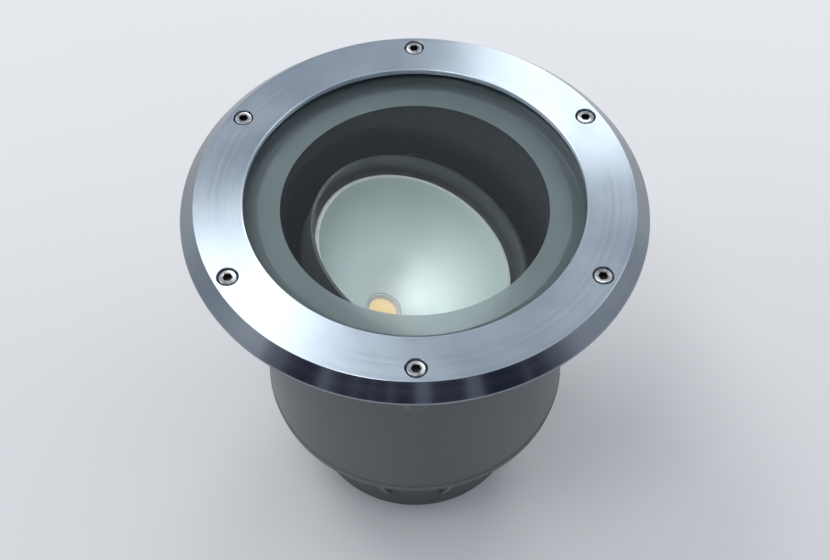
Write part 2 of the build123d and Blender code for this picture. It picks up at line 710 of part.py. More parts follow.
def make_heat_sink():
    pad = disc(SINK_PAD_RADIUS, head_floor_bottom, pad_top)
    body = disc(SINK_RADIUS, sink_base_bottom, head_floor_bottom) + pad
    body += disc(SINK_CORE_RADIUS, sink_bottom, sink_base_bottom)
    length = SINK_RADIUS - SINK_CORE_RADIUS / 2
    fin = Box(length, SINK_FIN_THICKNESS, SINK_FIN_LENGTH)
    fin = Pos(-length / 2, 0, (sink_bottom + sink_base_bottom) / 2) * fin
    body += round_the_axis(fin, SINK_RADIUS, SINK_FIN_COUNT)
    body = body & (disc(SINK_RADIUS, sink_bottom - PAST, head_floor_bottom) + pad)
    hole = small_hole(head_floor_bottom + PAST, sink_base_bottom + SINK_HOLE_FLOOR)
    body -= at_sink_screws(hole)
    holder_hole = small_hole(pad_top + PAST, pad_top - SMALL_SCREW_LENGTH + HOLDER_THICKNESS)
    body -= at_holder_screws(holder_hole)
    return head_place * body


def make_sink_screws():
    one = small_screw(head_floor_top, SINK_BASE)
    return head_place * group(at_sink_screws(one))


# ---------------------------------------------------------------- lamp
def make_chip_board():
    board = Pos(0, 0, pad_top + CHIP_THICKNESS / 2) * Box(CHIP_SIDE, CHIP_SIDE, CHIP_THICKNESS)
    return head_place * board


def make_phosphor():
    bottom = pad_top + CHIP_THICKNESS
    return head_place * disc(PHOSPHOR_RADIUS, bottom, bottom + PHOSPHOR_THICKNESS)


def make_chip_holder():
    side = CHIP_SIDE + 2 * CHIP_POCKET_CLEARANCE
    ring = disc(HOLDER_RADIUS, pad_top, holder_top)
    ring = chamfer(ring.edges().group_by(Axis.Z)[-1], HOLDER_BEVEL)
    pocket = Pos(0, 0, pad_top + CHIP_THICKNESS / 2) * Box(side, side, CHIP_THICKNESS)
    window = disc(PHOSPHOR_RADIUS + HOLDER_WINDOW_MARGIN, pad_top, holder_top + PAST)
    seat = disc(SMALL_HEAD_RADIUS + HOLDER_SEAT_CLEARANCE, holder_screw_seat, holder_top + PAST)
    hole = small_hole(holder_top + PAST, pad_top - PAST)
    return head_place * (ring - pocket - window - at_holder_screws(seat + hole))


def make_holder_screws():
    one = small_screw(holder_screw_seat, SMALL_SCREW_LENGTH - HOLDER_THICKNESS)
    return head_place * group(at_holder_screws(one))


# ---------------------------------------------------------------- tray, driver, terminals
def make_tray():
    plate = disc(tray_radius, can_floor_level, tray_top)
    hole = small_hole(tray_top + PAST, can_floor_level - PAST)
    plate -= at_tray_screws(hole)
    wire_hole = disc(TRAY_WIRE_HOLE_RADIUS, can_floor_level - PAST, tray_top + PAST)
    driver_edge = -DRIVER_OFFSET + DRIVER_WIDTH / 2
    terminal_edge = TERMINAL_OFFSET - TERMINAL_WIDTH / 2
    plate -= Pos(0, (driver_edge + terminal_edge) / 2, 0) * wire_hole
    return plate - at_driver_screws(hole)


def at_driver_screws(shape):
    """Copies of a shape at the two ends of the driver."""
    reach = DRIVER_LENGTH / 2 - 2 * SMALL_HEAD_RADIUS
    return [Pos(side * reach, -DRIVER_OFFSET, 0) * shape for side in (-1, 1)]


def make_tray_screws():
    one = small_screw(tray_top, CAN_FLOOR)
    return group(at_tray_screws(one))


def make_driver():
    case = Box(DRIVER_LENGTH, DRIVER_WIDTH, DRIVER_HEIGHT)
    case = fillet(case.edges().filter_by(Axis.Z), DRIVER_EDGE)
    case = Pos(0, -DRIVER_OFFSET, can_floor_level - DRIVER_HEIGHT / 2) * case
    return case - at_driver_screws(small_hole(can_floor_level + PAST, can_floor_level - SMALL_SCREW_LENGTH))


def make_driver_screws():
    return group(at_driver_screws(small_screw(tray_top)))


def at_terminal_poles(shape, level):
    """A copy of a shape at each pole of the terminal block."""
    offsets = [(n - (TERMINAL_POLES - 1) / 2) * TERMINAL_PITCH for n in range(TERMINAL_POLES)]
    return [Pos(x, TERMINAL_OFFSET, level) * shape for x in offsets]


def make_terminal_block():
    """Block under the tray, with a way through for each wire and a well for each screw."""
    middle = can_floor_level - TERMINAL_HEIGHT / 2
    block = Box(TERMINAL_POLES * TERMINAL_PITCH, TERMINAL_WIDTH, TERMINAL_HEIGHT)
    block = Pos(0, TERMINAL_OFFSET, middle) * block
    wire_way = Rot(90, 0, 0) * Cylinder(TERMINAL_WIRE_RADIUS, TERMINAL_WIDTH + 2 * PAST)
    well = disc(TERMINAL_WELL_RADIUS, -PAST, TERMINAL_WELL_DEPTH)
    return block - at_terminal_poles(wire_way, middle) - at_terminal_poles(well, terminal_bottom)


def make_terminal_screws():
    top = TERMINAL_WELL_DEPTH
    screw = disc(TERMINAL_WELL_RADIUS - TERMINAL_SCREW_CLEARANCE, top - TERMINAL_SCREW_HEIGHT, top)
    return group(at_terminal_poles(screw, terminal_bottom))


def make_earth_post():
    """Stud under the can's floor with a round plate and a nut."""
    place = Rot(0, 0, EARTH_ANGLE) * Pos(bay_inner - EARTH_SET_IN, 0, can_floor_level)
    stud = disc(EARTH_STUD_RADIUS, -EARTH_STUD_LENGTH, 0)
    plate = disc(EARTH_PLATE_RADIUS, -EARTH_PLATE_THICKNESS, 0)
    nut_top = -EARTH_PLATE_THICKNESS
    nut = hexagon_prism(EARTH_NUT_ACROSS, nut_top - EARTH_NUT_THICKNESS, nut_top)
    return place * (stud + nut + plate)


# ---------------------------------------------------------------- glands, vent
def make_gland_bodies():
    body = hexagon_prism(GLAND_HEX_ACROSS, 0, GLAND_HEX_THICKNESS)
    body += disc(GLAND_THREAD_RADIUS, -gland_thread_length, 0)
    body += disc(GLAND_NECK_RADIUS, GLAND_HEX_THICKNESS, gland_neck_end)
    body -= disc(GLAND_SEAL_RADIUS + GLAND_SLIDE_GAP, -gland_thread_length - PAST, gland_end)
    return group([gland_frame(a) * body for a in GLAND_ANGLES])


def make_gland_nuts():
    start = GLAND_HEX_THICKNESS + GLAND_NUT_GAP
    dome = GLAND_NUT_RADIUS - GLAND_DOME_BEVEL
    nut = hexagon_prism(GLAND_HEX_ACROSS, start, start + GLAND_NUT_LENGTH / 2)
    nut += turned(
        (0, start),
        (GLAND_NUT_RADIUS, start),
        (GLAND_NUT_RADIUS, gland_end - GLAND_DOME_BEVEL),
        (dome, gland_end),
        (0, gland_end),
    )
    nut -= disc(GLAND_NECK_RADIUS + GLAND_SLIDE_GAP, start - PAST, gland_shoulder)
    nut -= disc(GLAND_NUT_MOUTH_RADIUS, start - PAST, gland_end + PAST)
    return group([gland_frame(a) * nut for a in GLAND_ANGLES])


def make_gland_seals():
    seal = washer(GLAND_SEAL_RADIUS, CABLE_HOLE_RADIUS, -GLAND_BOSS_PROUD, gland_shoulder)
    return group([gland_frame(a) * seal for a in GLAND_ANGLES])


def make_gland_locknuts():
    top = -gland_wall - LOCKNUT_SET_IN
    nut = hexagon_prism(GLAND_HEX_ACROSS, top - LOCKNUT_THICKNESS, top)
    nut -= disc(GLAND_THREAD_RADIUS + GLAND_SLIDE_GAP, top - LOCKNUT_THICKNESS - PAST, top + PAST)
    return group([gland_frame(a) * nut for a in GLAND_ANGLES])


def make_vent_plug():
    plug = disc(VENT_HEAD_RADIUS, 0, VENT_HEAD_THICKNESS)
    plug = chamfer(plug.edges().group_by(Axis.Z)[-1], VENT_HEAD_BEVEL)
    plug += disc(VENT_RADIUS, -gland_wall - VENT_THREAD_END, 0)
    slot = Box(3 * VENT_HEAD_RADIUS, VENT_SLOT_WIDTH, VENT_SLOT_WIDTH)
    slot = Pos(0, 0, VENT_HEAD_THICKNESS / 2) * slot
    plug -= [Rot(0, 0, 180.0 * n / VENT_SLOT_COUNT) * slot for n in range(VENT_SLOT_COUNT)]
    return gland_frame(VENT_ANGLE) * plug


PARTS = {
    "trim_ring": make_trim_ring,
    "ring_screws": make_ring_screws,
    "screw_washers": make_screw_washers,
    "cover_glass": make_cover_glass,
    "frosted_band": make_frosted_band,
    "glass_bond": make_glass_bond,
    "seat_flange": make_seat_flange,
    "screw_bosses": make_screw_bosses,
    "can_wall": make_can_wall,
    "can_floor": make_can_floor,
    "shelf_posts": make_shelf_posts,
    "bay_wall": make_bay_wall,
    "gussets": make_gussets,
    "seat_seal": make_seat_seal,
    "base_cover": make_base_cover,
    "base_seal": make_base_seal,
    "base_screws": make_base_screws,
    "glare_shroud": make_glare_shroud,
    "yoke_shelf": make_shelf,
    "shelf_clips": make_shelf_clips,
    "shelf_screws": make_shelf_screws,
    "yoke": make_yoke,
    "pivot_screws": make_pivot_screws,
    "pivot_washers": make_pivot_washers,
    "lamp_head": make_lamp_head,
    "reflector": make_reflector,
    "heat_sink": make_heat_sink,
    "sink_screws": make_sink_screws,
    "chip_board": make_chip_board,
    "phosphor": make_phosphor,
    "chip_holder": make_chip_holder,
    "holder_screws": make_holder_screws,
    "gear_tray": make_tray,
    "tray_screws": make_tray_screws,
    "driver": make_driver,
    "driver_screws": make_driver_screws,
    "terminal_block": make_terminal_block,
    "terminal_screws": make_terminal_screws,
    "earth_post": make_earth_post,
    "gland_bodies": make_gland_bodies,
    "gland_nuts": make_gland_nuts,
    "gland_seals": make_gland_seals,
    "gland_locknuts": make_gland_locknuts,
    "vent_plug": make_vent_plug,
}


def main():
    os.makedirs("parts", exist_ok=True)
    for name, make in PARTS.items():
        export_step(make(), f"parts/{name}.step")
        print(name)


main()
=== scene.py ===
# %% [markdown]
# # In-ground well light
#
# The CAD frame holds every piece of the light at its real size. This notebook gives
# the pieces their finish. Round pieces that show are turned again with a finer
# outline, and castings and pressings are taken over from the frame with softened edges.
# All lengths are metres, in the frame's own axes: +Z is up, the ground is at zero.

import json
import math

import bpy
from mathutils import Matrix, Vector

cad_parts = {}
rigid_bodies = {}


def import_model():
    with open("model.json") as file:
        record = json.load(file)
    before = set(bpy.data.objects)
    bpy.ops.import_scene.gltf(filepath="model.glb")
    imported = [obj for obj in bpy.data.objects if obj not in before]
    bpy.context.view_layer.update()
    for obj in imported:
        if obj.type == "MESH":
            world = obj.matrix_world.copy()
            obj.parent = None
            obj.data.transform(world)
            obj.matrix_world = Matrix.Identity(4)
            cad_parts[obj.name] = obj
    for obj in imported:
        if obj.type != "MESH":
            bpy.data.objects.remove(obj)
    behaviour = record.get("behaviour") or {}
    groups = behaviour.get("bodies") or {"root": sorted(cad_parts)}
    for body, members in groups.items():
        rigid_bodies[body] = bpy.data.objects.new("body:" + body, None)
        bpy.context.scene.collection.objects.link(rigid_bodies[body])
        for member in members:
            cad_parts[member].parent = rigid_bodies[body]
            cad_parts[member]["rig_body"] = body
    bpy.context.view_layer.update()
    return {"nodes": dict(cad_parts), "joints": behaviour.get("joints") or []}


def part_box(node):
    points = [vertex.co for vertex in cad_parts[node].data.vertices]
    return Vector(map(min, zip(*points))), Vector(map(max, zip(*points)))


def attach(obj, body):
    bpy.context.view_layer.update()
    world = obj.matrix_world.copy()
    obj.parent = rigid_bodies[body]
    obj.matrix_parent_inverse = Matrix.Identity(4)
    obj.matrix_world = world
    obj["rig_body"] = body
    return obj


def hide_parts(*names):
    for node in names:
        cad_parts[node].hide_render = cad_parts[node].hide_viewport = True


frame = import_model()
nodes = frame["nodes"]
print("nodes in the frame:", len(nodes))

# %% [markdown]
# ## Measures
#
# Most sizes can be read from the frame's boxes. What a box can't tell, such as the
# width of the bevel on the trim ring, is written here once in millimetres.

# %% Measures
MM = 0.001
TURN_STEPS = 192
FINE_STEPS = 48

ring_low, ring_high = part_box("trim_ring")
glass_low, glass_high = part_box("cover_glass")
band_low, band_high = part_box("frosted_band")
shroud_low, shroud_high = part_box("glare_shroud")
screw_low, screw_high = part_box("ring_screws")
base_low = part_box("base_cover")[0]

joint = {j["name"]: j for j in frame["joints"]}
tilt_height = joint["head_tilt"]["pos_m"][2]
TILT = math.radians(20)

ring_radius = ring_high.x
ring_top = ring_high.z
RING_BEVEL = 8.4 * MM
RING_EDGE = 1.5 * MM
RING_OPENING = 98.6 * MM
RING_LIP = 3.5 * MM
GLASS_POCKET = 110.0 * MM
FLANGE_NEST = 125.8 * MM
NEST_DEPTH = 1.0 * MM
SCREW_CIRCLE = 118.3 * MM
SCREW_ANGLES = [math.radians(30 + 60 * n) for n in range(6)]
print("ring radius", round(ring_radius / MM, 2), "mm, tilt axis at", tilt_height)

# %% [markdown]
# ## Helpers for turned and cast pieces
#
# Nearly every piece of this light is round, as if cut on a lathe. A circle that is
# extruded again and again along an outline gives the same form as a lathe does, with
# clean rings of faces. The Spin tool could do it too, but extruding keeps the ring of
# the last step selected, so each step of the outline is one move.

# %% Selection and edit helpers
def pick_only(*pieces):
    """Selects these pieces alone, the last of them active."""
    bpy.ops.object.select_all(action="DESELECT")
    for piece in pieces:
        piece.select_set(True)
    bpy.context.view_layer.objects.active = pieces[-1] if pieces else None


def turn_piece(name, outline, hollow=True, steps=TURN_STEPS):
    """A piece turned about Z from (radius, height) points. A hollow outline closes on itself."""
    pick_only()
    (radius, height), rest = outline[0], outline[1:]
    bpy.ops.mesh.primitive_circle_add(vertices=steps, radius=radius, location=(0, 0, height))
    piece = bpy.context.object
    piece.name = name
    piece.data.name = name
    bpy.ops.object.transform_apply()
    bpy.ops.object.mode_set(mode="EDIT")
    bpy.ops.mesh.select_all(action="SELECT")
    for next_radius, next_height in rest:
        grow = next_radius / radius
        bpy.ops.mesh.extrude_region()
        bpy.ops.transform.resize(value=(grow, grow, 1), center_override=(0, 0, 0))
        bpy.ops.transform.translate(value=(0, 0, next_height - height))
        radius, height = next_radius, next_height
    bpy.ops.mesh.select_all(action="DESELECT")
    bpy.ops.mesh.select_non_manifold()
    if hollow:
        bpy.ops.mesh.bridge_edge_loops()
    else:
        bpy.ops.mesh.fill_holes(sides=0)
    bpy.ops.mesh.select_all(action="SELECT")
    bpy.ops.mesh.normals_make_consistent(inside=False)
    bpy.ops.object.mode_set(mode="OBJECT")
    return piece


def even_shading(piece, angle):
    """Smooth shading in which the large flat faces stay flat right up to their round edges."""
    pick_only(piece)
    bpy.ops.object.shade_smooth_by_angle(angle=math.radians(angle))
    weighted = piece.modifiers.new("normals", "WEIGHTED_NORMAL")
    weighted.keep_sharp = True
    weighted.weight = 100
    bpy.ops.object.modifier_apply(modifier=weighted.name)
    return piece


def soften(piece, width, segments=2, angle=30):
    """Rounds the sharp edges with a bevel and shades the faces evenly."""
    pick_only(piece)
    bevel = piece.modifiers.new("edges", "BEVEL")
    bevel.width = width
    bevel.segments = segments
    bevel.limit_method = "ANGLE"
    bevel.angle_limit = math.radians(angle)
    bpy.ops.object.modifier_apply(modifier=bevel.name)
    return even_shading(piece, angle)


def cut_away(piece, cutter):
    """Cuts the cutter's shape out of a piece and removes the cutter."""
    pick_only(piece)
    cut = piece.modifiers.new("cut", "BOOLEAN")
    cut.operation = "DIFFERENCE"
    cut.solver = "EXACT"
    cut.object = cutter
    bpy.ops.object.modifier_apply(modifier=cut.name)
    bpy.data.objects.remove(cutter)
    return piece


def copies_round(piece, angles):
    """One mesh with a copy of the piece turned to each angle about Z."""
    copies = []
    for angle in angles:
        copy = bpy.data.objects.new(piece.name, piece.data.copy())
        bpy.context.scene.collection.objects.link(copy)
        copy.rotation_euler = (0, 0, angle)
        copies.append(copy)
    name = piece.name
    bpy.data.objects.remove(piece)
    pick_only(*copies)
    bpy.ops.object.transform_apply()
    bpy.ops.object.join()
    bpy.context.object.name = name
    return bpy.context.object


def place(piece, move=(0, 0, 0), turn=(0, 0, 0)):
    """Turns and moves a piece, and writes that into its mesh."""
    piece.rotation_euler = turn
    piece.location = move
    pick_only(piece)
    bpy.ops.object.transform_apply()
    return piece


def from_frame(node, edge):
    """A copy of a node's solid, merged, with its edges softened, that stands for the node."""
    mesh = nodes[node].data.copy()
    piece = bpy.data.objects.new(node + "_finished", mesh)
    bpy.context.scene.collection.objects.link(piece)
    pick_only(piece)
    bpy.ops.object.mode_set(mode="EDIT")
    bpy.ops.mesh.select_all(action="SELECT")
    bpy.ops.mesh.remove_doubles(threshold=0.002 * MM)
    bpy.ops.mesh.dissolve_limited(angle_limit=math.radians(1))
    bpy.ops.object.mode_set(mode="OBJECT")
    return soften(piece, edge, segments=2, angle=30)


def finish_piece(piece, material, node):
    """Gives a piece its material and lets it stand for a node on that node's body."""
    piece.data.materials.clear()
    piece.data.materials.append(material)
    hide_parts(node)
    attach(piece, nodes[node]["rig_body"])
    print(f"{piece.name}: {len(piece.data.polygons)} faces, stands for {node}")
    return piece


# %% [markdown]
# ## Helpers for materials
#
# Every finish starts from a Principled shader and the piece's own Object coordinates,
# so that a pattern keeps its real scale and stays on the piece when it moves.

# %% Material helpers
class Finish:
    """A material with short ways to add the nodes that this light's finishes need."""

    def __init__(self, name, colour, rough, metal=0.0):
        self.material = bpy.data.materials.new(name)
        self.material.use_nodes = True
        self.tree = self.material.node_tree
        self.shader = self.tree.nodes["Principled BSDF"]
        self.output = self.tree.nodes["Material Output"]
        self.shader.inputs["Base Color"].default_value = (*colour, 1)
        self.shader.inputs["Roughness"].default_value = rough
        self.shader.inputs["Metallic"].default_value = metal
        self.where = self.node("ShaderNodeTexCoord").outputs["Object"]
        self.bump_chain = None

    def node(self, kind, **values):
        """A new node with some of its settings given."""
        made = self.tree.nodes.new(kind)
        for key, value in values.items():
            setattr(made, key, value)
        return made

    def link(self, a, b):
        """Joins an output to an input."""
        self.tree.links.new(a, b)

    def math(self, operation, a, b=0.0):
        """One sum on two numbers or outputs."""
        made = self.node("ShaderNodeMath", operation=operation)
        for socket, value in zip(made.inputs, (a, b)):
            if isinstance(value, (int, float)):
                socket.default_value = value
            else:
                self.link(value, socket)
        return made.outputs[0]

    def leaned(self):
        """Coordinates upright on the tilted head's own axis, with zero at its tilt axis."""
        moved = self.node("ShaderNodeMapping")
        moved.inputs["Location"].default_value = (0, 0, -tilt_height)
        self.link(self.where, moved.inputs["Vector"])
        leaned = self.node("ShaderNodeMapping")
        leaned.inputs["Rotation"].default_value = (0, -TILT, 0)
        self.link(moved.outputs["Vector"], leaned.inputs["Vector"])
        return leaned.outputs["Vector"]

    def noise(self, scale, detail=3.0, where=None):
        """Cloudy noise around a half."""
        made = self.node("ShaderNodeTexNoise")
        made.inputs["Scale"].default_value = scale
        made.inputs["Detail"].default_value = detail
        self.link(where or self.where, made.inputs["Vector"])
        return made.outputs["Fac"]

    def cells(self, scale):
        """A colour per cell, for crystals."""
        made = self.node("ShaderNodeTexVoronoi")
        made.inputs["Scale"].default_value = scale
        self.link(self.where, made.inputs["Vector"])
        return made.outputs["Color"]

    def spread(self, value, low, high, start=0.3, end=0.7):
        """Maps a noise value from start..end to low..high."""
        made = self.node("ShaderNodeMapRange")
        made.inputs["From Min"].default_value = start
        made.inputs["From Max"].default_value = end
        made.inputs["To Min"].default_value = low
        made.inputs["To Max"].default_value = high
        self.link(value, made.inputs["Value"])
        return made.outputs["Result"]

    def colours(self, value, dark, light, start=0.3, end=0.7):
        """Maps a noise value from start..end to dark..light."""
        ramp = self.node("ShaderNodeValToRGB")
        ramp.color_ramp.elements[0].position = start
        ramp.color_ramp.elements[0].color = (*dark, 1)
        ramp.color_ramp.elements[1].position = end
        ramp.color_ramp.elements[1].color = (*light, 1)
        self.link(value, ramp.inputs["Fac"])
        return ramp.outputs["Color"]

    def set_colour(self, socket):
        self.link(socket, self.shader.inputs["Base Color"])

    def set_rough(self, socket):
        self.link(socket, self.shader.inputs["Roughness"])

    def bump(self, height, depth, strength=1.0):
        """Adds a bump whose full height is depth metres."""
        made = self.node("ShaderNodeBump")
        made.inputs["Strength"].default_value = strength
        made.inputs["Distance"].default_value = depth
        self.link(height, made.inputs["Height"])
        if self.bump_chain:
            self.link(self.bump_chain, made.inputs["Normal"])
        self.bump_chain = made.outputs["Normal"]
        self.link(self.bump_chain, self.shader.inputs["Normal"])

    def radius(self, where=None):
        """Distance from the light's axis, for marks that run round it, and the height."""
        split = self.node("ShaderNodeSeparateXYZ")
        self.link(where or self.where, split.inputs["Vector"])
        square = self.math("ADD", self.math("POWER", split.outputs["X"], 2.0),
                           self.math("POWER", split.outputs["Y"], 2.0))
        return self.math("SQRT", square), split.outputs["Z"]

    def rings(self, scale, wander=0.0):
        """Fine noise in rings about the axis, as a turning tool or a brush leaves it."""
        radius, height = self.radius()
        joined = self.node("ShaderNodeCombineXYZ")
        self.link(radius, joined.inputs["X"])
        self.link(height, joined.inputs["Z"])
        where = joined.outputs["Vector"]
        if wander:
            drift = self.noise(6.0, 1.0)
            shifted = self.node("ShaderNodeCombineXYZ")
            self.link(self.math("ADD", radius, self.math("MULTIPLY", drift, wander)), shifted.inputs["X"])
            self.link(height, shifted.inputs["Z"])
            where = shifted.outputs["Vector"]
        return self.noise(scale, 2.0, where)


# %% [markdown]
# ## Trim ring finish
#
# The ring is stainless steel that was spun against a brush, so its fine scratches run
# round the axis. Such a surface mirrors a lamp as two bright fans that point at the
# middle. An anisotropic shader makes those fans: its tangent runs round the axis, and a
# quarter turn of it stretches each highlight across the scratches. Rings of noise add
# the single scratches. A flat grey with plain roughness would lose all of that.
#
# The bevel is smoother than the face. In the photograph it is also dark, most likely from
# what it mirrors. The pale floor here doesn't give it that, so its colour is simply taken
# down. That is a stand-in: in other surroundings the bevel will look too dark for steel.

# %% Trim ring steel
# Painted reflection: the bevel's colour is darkened to stand for the dark surroundings that it mirrors.
BEVEL_PAINTED_REFLECTION = 0.36  # colour of the bevel against that of the face
BEVEL_ROUGH = 0.5  # roughness of the bevel against that of the face
FACE_END_SPREAD = 0.2 * MM


def make_ring_steel():
    """Brushed steel, with a smoother bevel whose colour is darkened as a painted reflection."""
    steel = Finish("ring_steel", (0.60, 0.655, 0.72), 0.34, metal=1.0)
    steel.shader.inputs["Anisotropic"].default_value = 0.85
    steel.shader.inputs["Anisotropic Rotation"].default_value = 0.25
    tangent = steel.node("ShaderNodeTangent", direction_type="RADIAL", axis="Z")
    steel.link(tangent.outputs["Tangent"], steel.shader.inputs["Tangent"])
    fine = steel.rings(2600.0, wander=0.0006)
    coarse = steel.rings(420.0, wander=0.001)
    cloud = steel.noise(28.0, 4.0)
    mixed = steel.math("ADD", steel.math("MULTIPLY", fine, 0.6), steel.math("MULTIPLY", cloud, 0.4))
    colour = steel.colours(mixed, (0.56, 0.65, 0.76), (0.70, 0.78, 0.86), 0.38, 0.62)
    rough = steel.spread(steel.math("ADD", steel.math("MULTIPLY", coarse, 0.5),
                                    steel.math("MULTIPLY", cloud, 0.5)), 0.30, 0.40, 0.35, 0.65)
    face_end = ring_radius - RING_BEVEL
    edge = (face_end - FACE_END_SPREAD, face_end + FACE_END_SPREAD)
    polish = steel.spread(steel.radius()[0], 1.0, BEVEL_ROUGH, *edge)
    steel.set_rough(steel.math("MULTIPLY", rough, polish))
    shade = steel.node("ShaderNodeVectorMath", operation="SCALE")
    steel.link(colour, shade.inputs[0])
    steel.link(steel.spread(steel.radius()[0], 1.0, BEVEL_PAINTED_REFLECTION, *edge), shade.inputs["Scale"])
    steel.set_colour(shade.outputs["Vector"])
    steel.bump(fine, 0.008 * MM, 0.5)
    return steel.material


ring_steel = make_ring_steel()

# %% [markdown]
# ## Trim ring
#
# A flat ring with a 45 degree bevel outside, a lip over the glass inside, and a step
# underneath that drops over the can's flange. Turning gives the body. The six pockets
# for the screws are cut with one cutter that is copied round the axis, and a fine bevel
# breaks every edge, because on steel it is the broken edge that catches the light.

# %% Turn the trim ring
LIP_BREAK = 0.6 * MM
RING_SOFT_EDGE = 0.35 * MM
POCKET_BORE = 3.3 * MM
POCKET_RADIUS = 6.0 * MM
POCKET_MOUTH = 6.6 * MM
POCKET_DEPTH = 6.8 * MM
PAST_RING = 5 * MM


def make_trim_ring():
    """The turned ring with its six pockets."""
    outline = [
        (RING_OPENING, ring_top - RING_LIP),
        (RING_OPENING, ring_top - LIP_BREAK),
        (RING_OPENING + LIP_BREAK, ring_top),
        (ring_radius - RING_BEVEL, ring_top),
        (ring_radius, ring_low.z + RING_EDGE),
        (ring_radius, ring_low.z),
        (FLANGE_NEST, ring_low.z),
        (FLANGE_NEST, ring_low.z + NEST_DEPTH),
        (GLASS_POCKET, ring_low.z + NEST_DEPTH),
        (GLASS_POCKET, ring_top - RING_LIP),
    ]
    ring = turn_piece("trim_ring_turned", outline)
    soften(ring, RING_SOFT_EDGE, segments=3, angle=25)
    cutter = turn_piece("pocket", [
        (POCKET_BORE, ring_low.z - PAST_RING),
        (POCKET_BORE, screw_high.z - POCKET_DEPTH),
        (POCKET_RADIUS, screw_high.z - POCKET_DEPTH),
        (POCKET_RADIUS, ring_top - 0.35 * MM),
        (POCKET_MOUTH, ring_top + 0.25 * MM),
        (POCKET_MOUTH, ring_top + PAST_RING),
    ], hollow=False, steps=FINE_STEPS)
    place(cutter, move=(SCREW_CIRCLE, 0, 0))
    cut_away(ring, copies_round(cutter, SCREW_ANGLES))
    return even_shading(ring, 25)


finish_piece(make_trim_ring(), ring_steel, "trim_ring")

# %% [markdown]
# ## Plain steel for the screws
#
# Cap screws are cold formed and tumbled, so they're smoother and a little darker than
# the brushed ring, with no grain direction. Soft clouds in the roughness are enough.
# The ring screws are darker below their top face, in the socket and down the head in its pocket.

# %% Screw steel
def make_screw_steel(name, dark_below=None):
    """Tumbled steel. Below a height, where one is given, it is darker."""
    steel = Finish(name, (0.55, 0.56, 0.58), 0.28, metal=1.0)
    cloud = steel.noise(420.0, 4.0)
    colour = steel.colours(cloud, (0.46, 0.47, 0.49), (0.66, 0.67, 0.68))
    if dark_below:
        height = steel.radius()[1]
        # Below the given height the colour is scaled down to 0.12.
        darker_below_scale = steel.spread(height, 0.12, 1.0, dark_below - 0.6 * MM, dark_below)
        darken = steel.node("ShaderNodeVectorMath", operation="SCALE")
        steel.link(colour, darken.inputs[0])
        steel.link(darker_below_scale, darken.inputs["Scale"])
        colour = darken.outputs["Vector"]
    steel.set_colour(colour)
    steel.set_rough(steel.spread(cloud, 0.2, 0.38))
    steel.bump(steel.noise(1800.0, 2.0), 0.01 * MM, 0.4)
    return steel.material


screw_steel = make_screw_steel("screw_steel")
ring_screw_steel = make_screw_steel("ring_screw_steel", dark_below=screw_high.z - 0.5 * MM)

# %% [markdown]
# ## Ring screws
#
# Six M6 socket head screws. The head has a broken edge, a dished top and a hexagon
# socket. The thread is a row of small V grooves: a
# true helix looks the same from here and costs many more faces.

# %% Model one screw, copy it round the ring
SCREW_HEAD_RADIUS = 5.0 * MM
SCREW_HEAD_HEIGHT = 6.0 * MM
SCREW_RADIUS = 3.0 * MM
THREAD_PITCH = 1.0 * MM
HEX_ACROSS = 5.0 * MM
HEX_DEPTH = 3.2 * MM
DISH_RADIUS = 4.0 * MM
DISH_DEPTH = 0.12 * MM
HEAD_TOP_RADIUS = 4.5 * MM
HEAD_BREAK = 0.45 * MM
UNDERHEAD_BREAK = 0.2 * MM
PLAIN_SHANK = 2 * MM
THREAD_DEPTH = 0.45 * MM


def thread_outline(radius, start, end, pitch, depth):
    """Points of V grooves from start down to end."""
    turns = int((start - end) / pitch) - 1
    points = []
    for turn in range(turns):
        crest = start - turn * pitch
        points += [(radius, crest), (radius - depth, crest - pitch / 2)]
    return points + [(radius, start - turns * pitch), (radius - depth, end)]


def make_ring_screws():
    """One screw turned and socketed, then copied to the six pockets."""
    top = screw_high.z
    shoulder = top - SCREW_HEAD_HEIGHT
    outline = [
        (DISH_RADIUS, top - DISH_DEPTH),
        (HEAD_TOP_RADIUS, top),
        (SCREW_HEAD_RADIUS, top - HEAD_BREAK),
        (SCREW_HEAD_RADIUS, shoulder + UNDERHEAD_BREAK),
        (SCREW_HEAD_RADIUS - UNDERHEAD_BREAK, shoulder),
        (SCREW_RADIUS, shoulder),
    ]
    thread_top = shoulder - PLAIN_SHANK
    outline += thread_outline(SCREW_RADIUS, thread_top, screw_low.z, THREAD_PITCH, THREAD_DEPTH)
    screw = turn_piece("ring_screws_turned", outline, hollow=False, steps=FINE_STEPS)
    pick_only()
    bpy.ops.mesh.primitive_cylinder_add(
        vertices=6, radius=HEX_ACROSS / math.sqrt(3), depth=2 * HEX_DEPTH, location=(0, 0, top))
    socket = bpy.context.object
    bpy.ops.object.transform_apply()
    cut_away(screw, socket)
    bpy.ops.object.shade_smooth_by_angle(angle=math.radians(28))
    place(screw, move=(SCREW_CIRCLE, 0, 0))
    return copies_round(screw, SCREW_ANGLES)


finish_piece(make_ring_screws(), ring_screw_steel, "ring_screws")

# %% [markdown]
# ## Glass
#
# A toughened disc with ground edges. In Cycles a lamp's light doesn't pass real glass
# on its straight way, so the inside of a sealed lamp would stay black. The Light Path
# node lets shadow rays through a tinted Transparent shader, while the camera still
# sees true refraction. The faint bump is the slight wave of rolled glass.

# %% Clear glass
GLASS_EDGE = 0.8 * MM


def let_lamps_through(finish, tint, seen=None):
    """Shadow rays pass with a tint, and every other ray meets the shader that is seen."""
    clear = finish.node("ShaderNodeBsdfTransparent")
    clear.inputs["Color"].default_value = (*tint, 1)
    path = finish.node("ShaderNodeLightPath")
    mix = finish.node("ShaderNodeMixShader")
    finish.link(path.outputs["Is Shadow Ray"], mix.inputs["Fac"])
    finish.link(seen or finish.shader.outputs["BSDF"], mix.inputs[1])
    finish.link(clear.outputs["BSDF"], mix.inputs[2])
    finish.link(mix.outputs["Shader"], finish.output.inputs["Surface"])


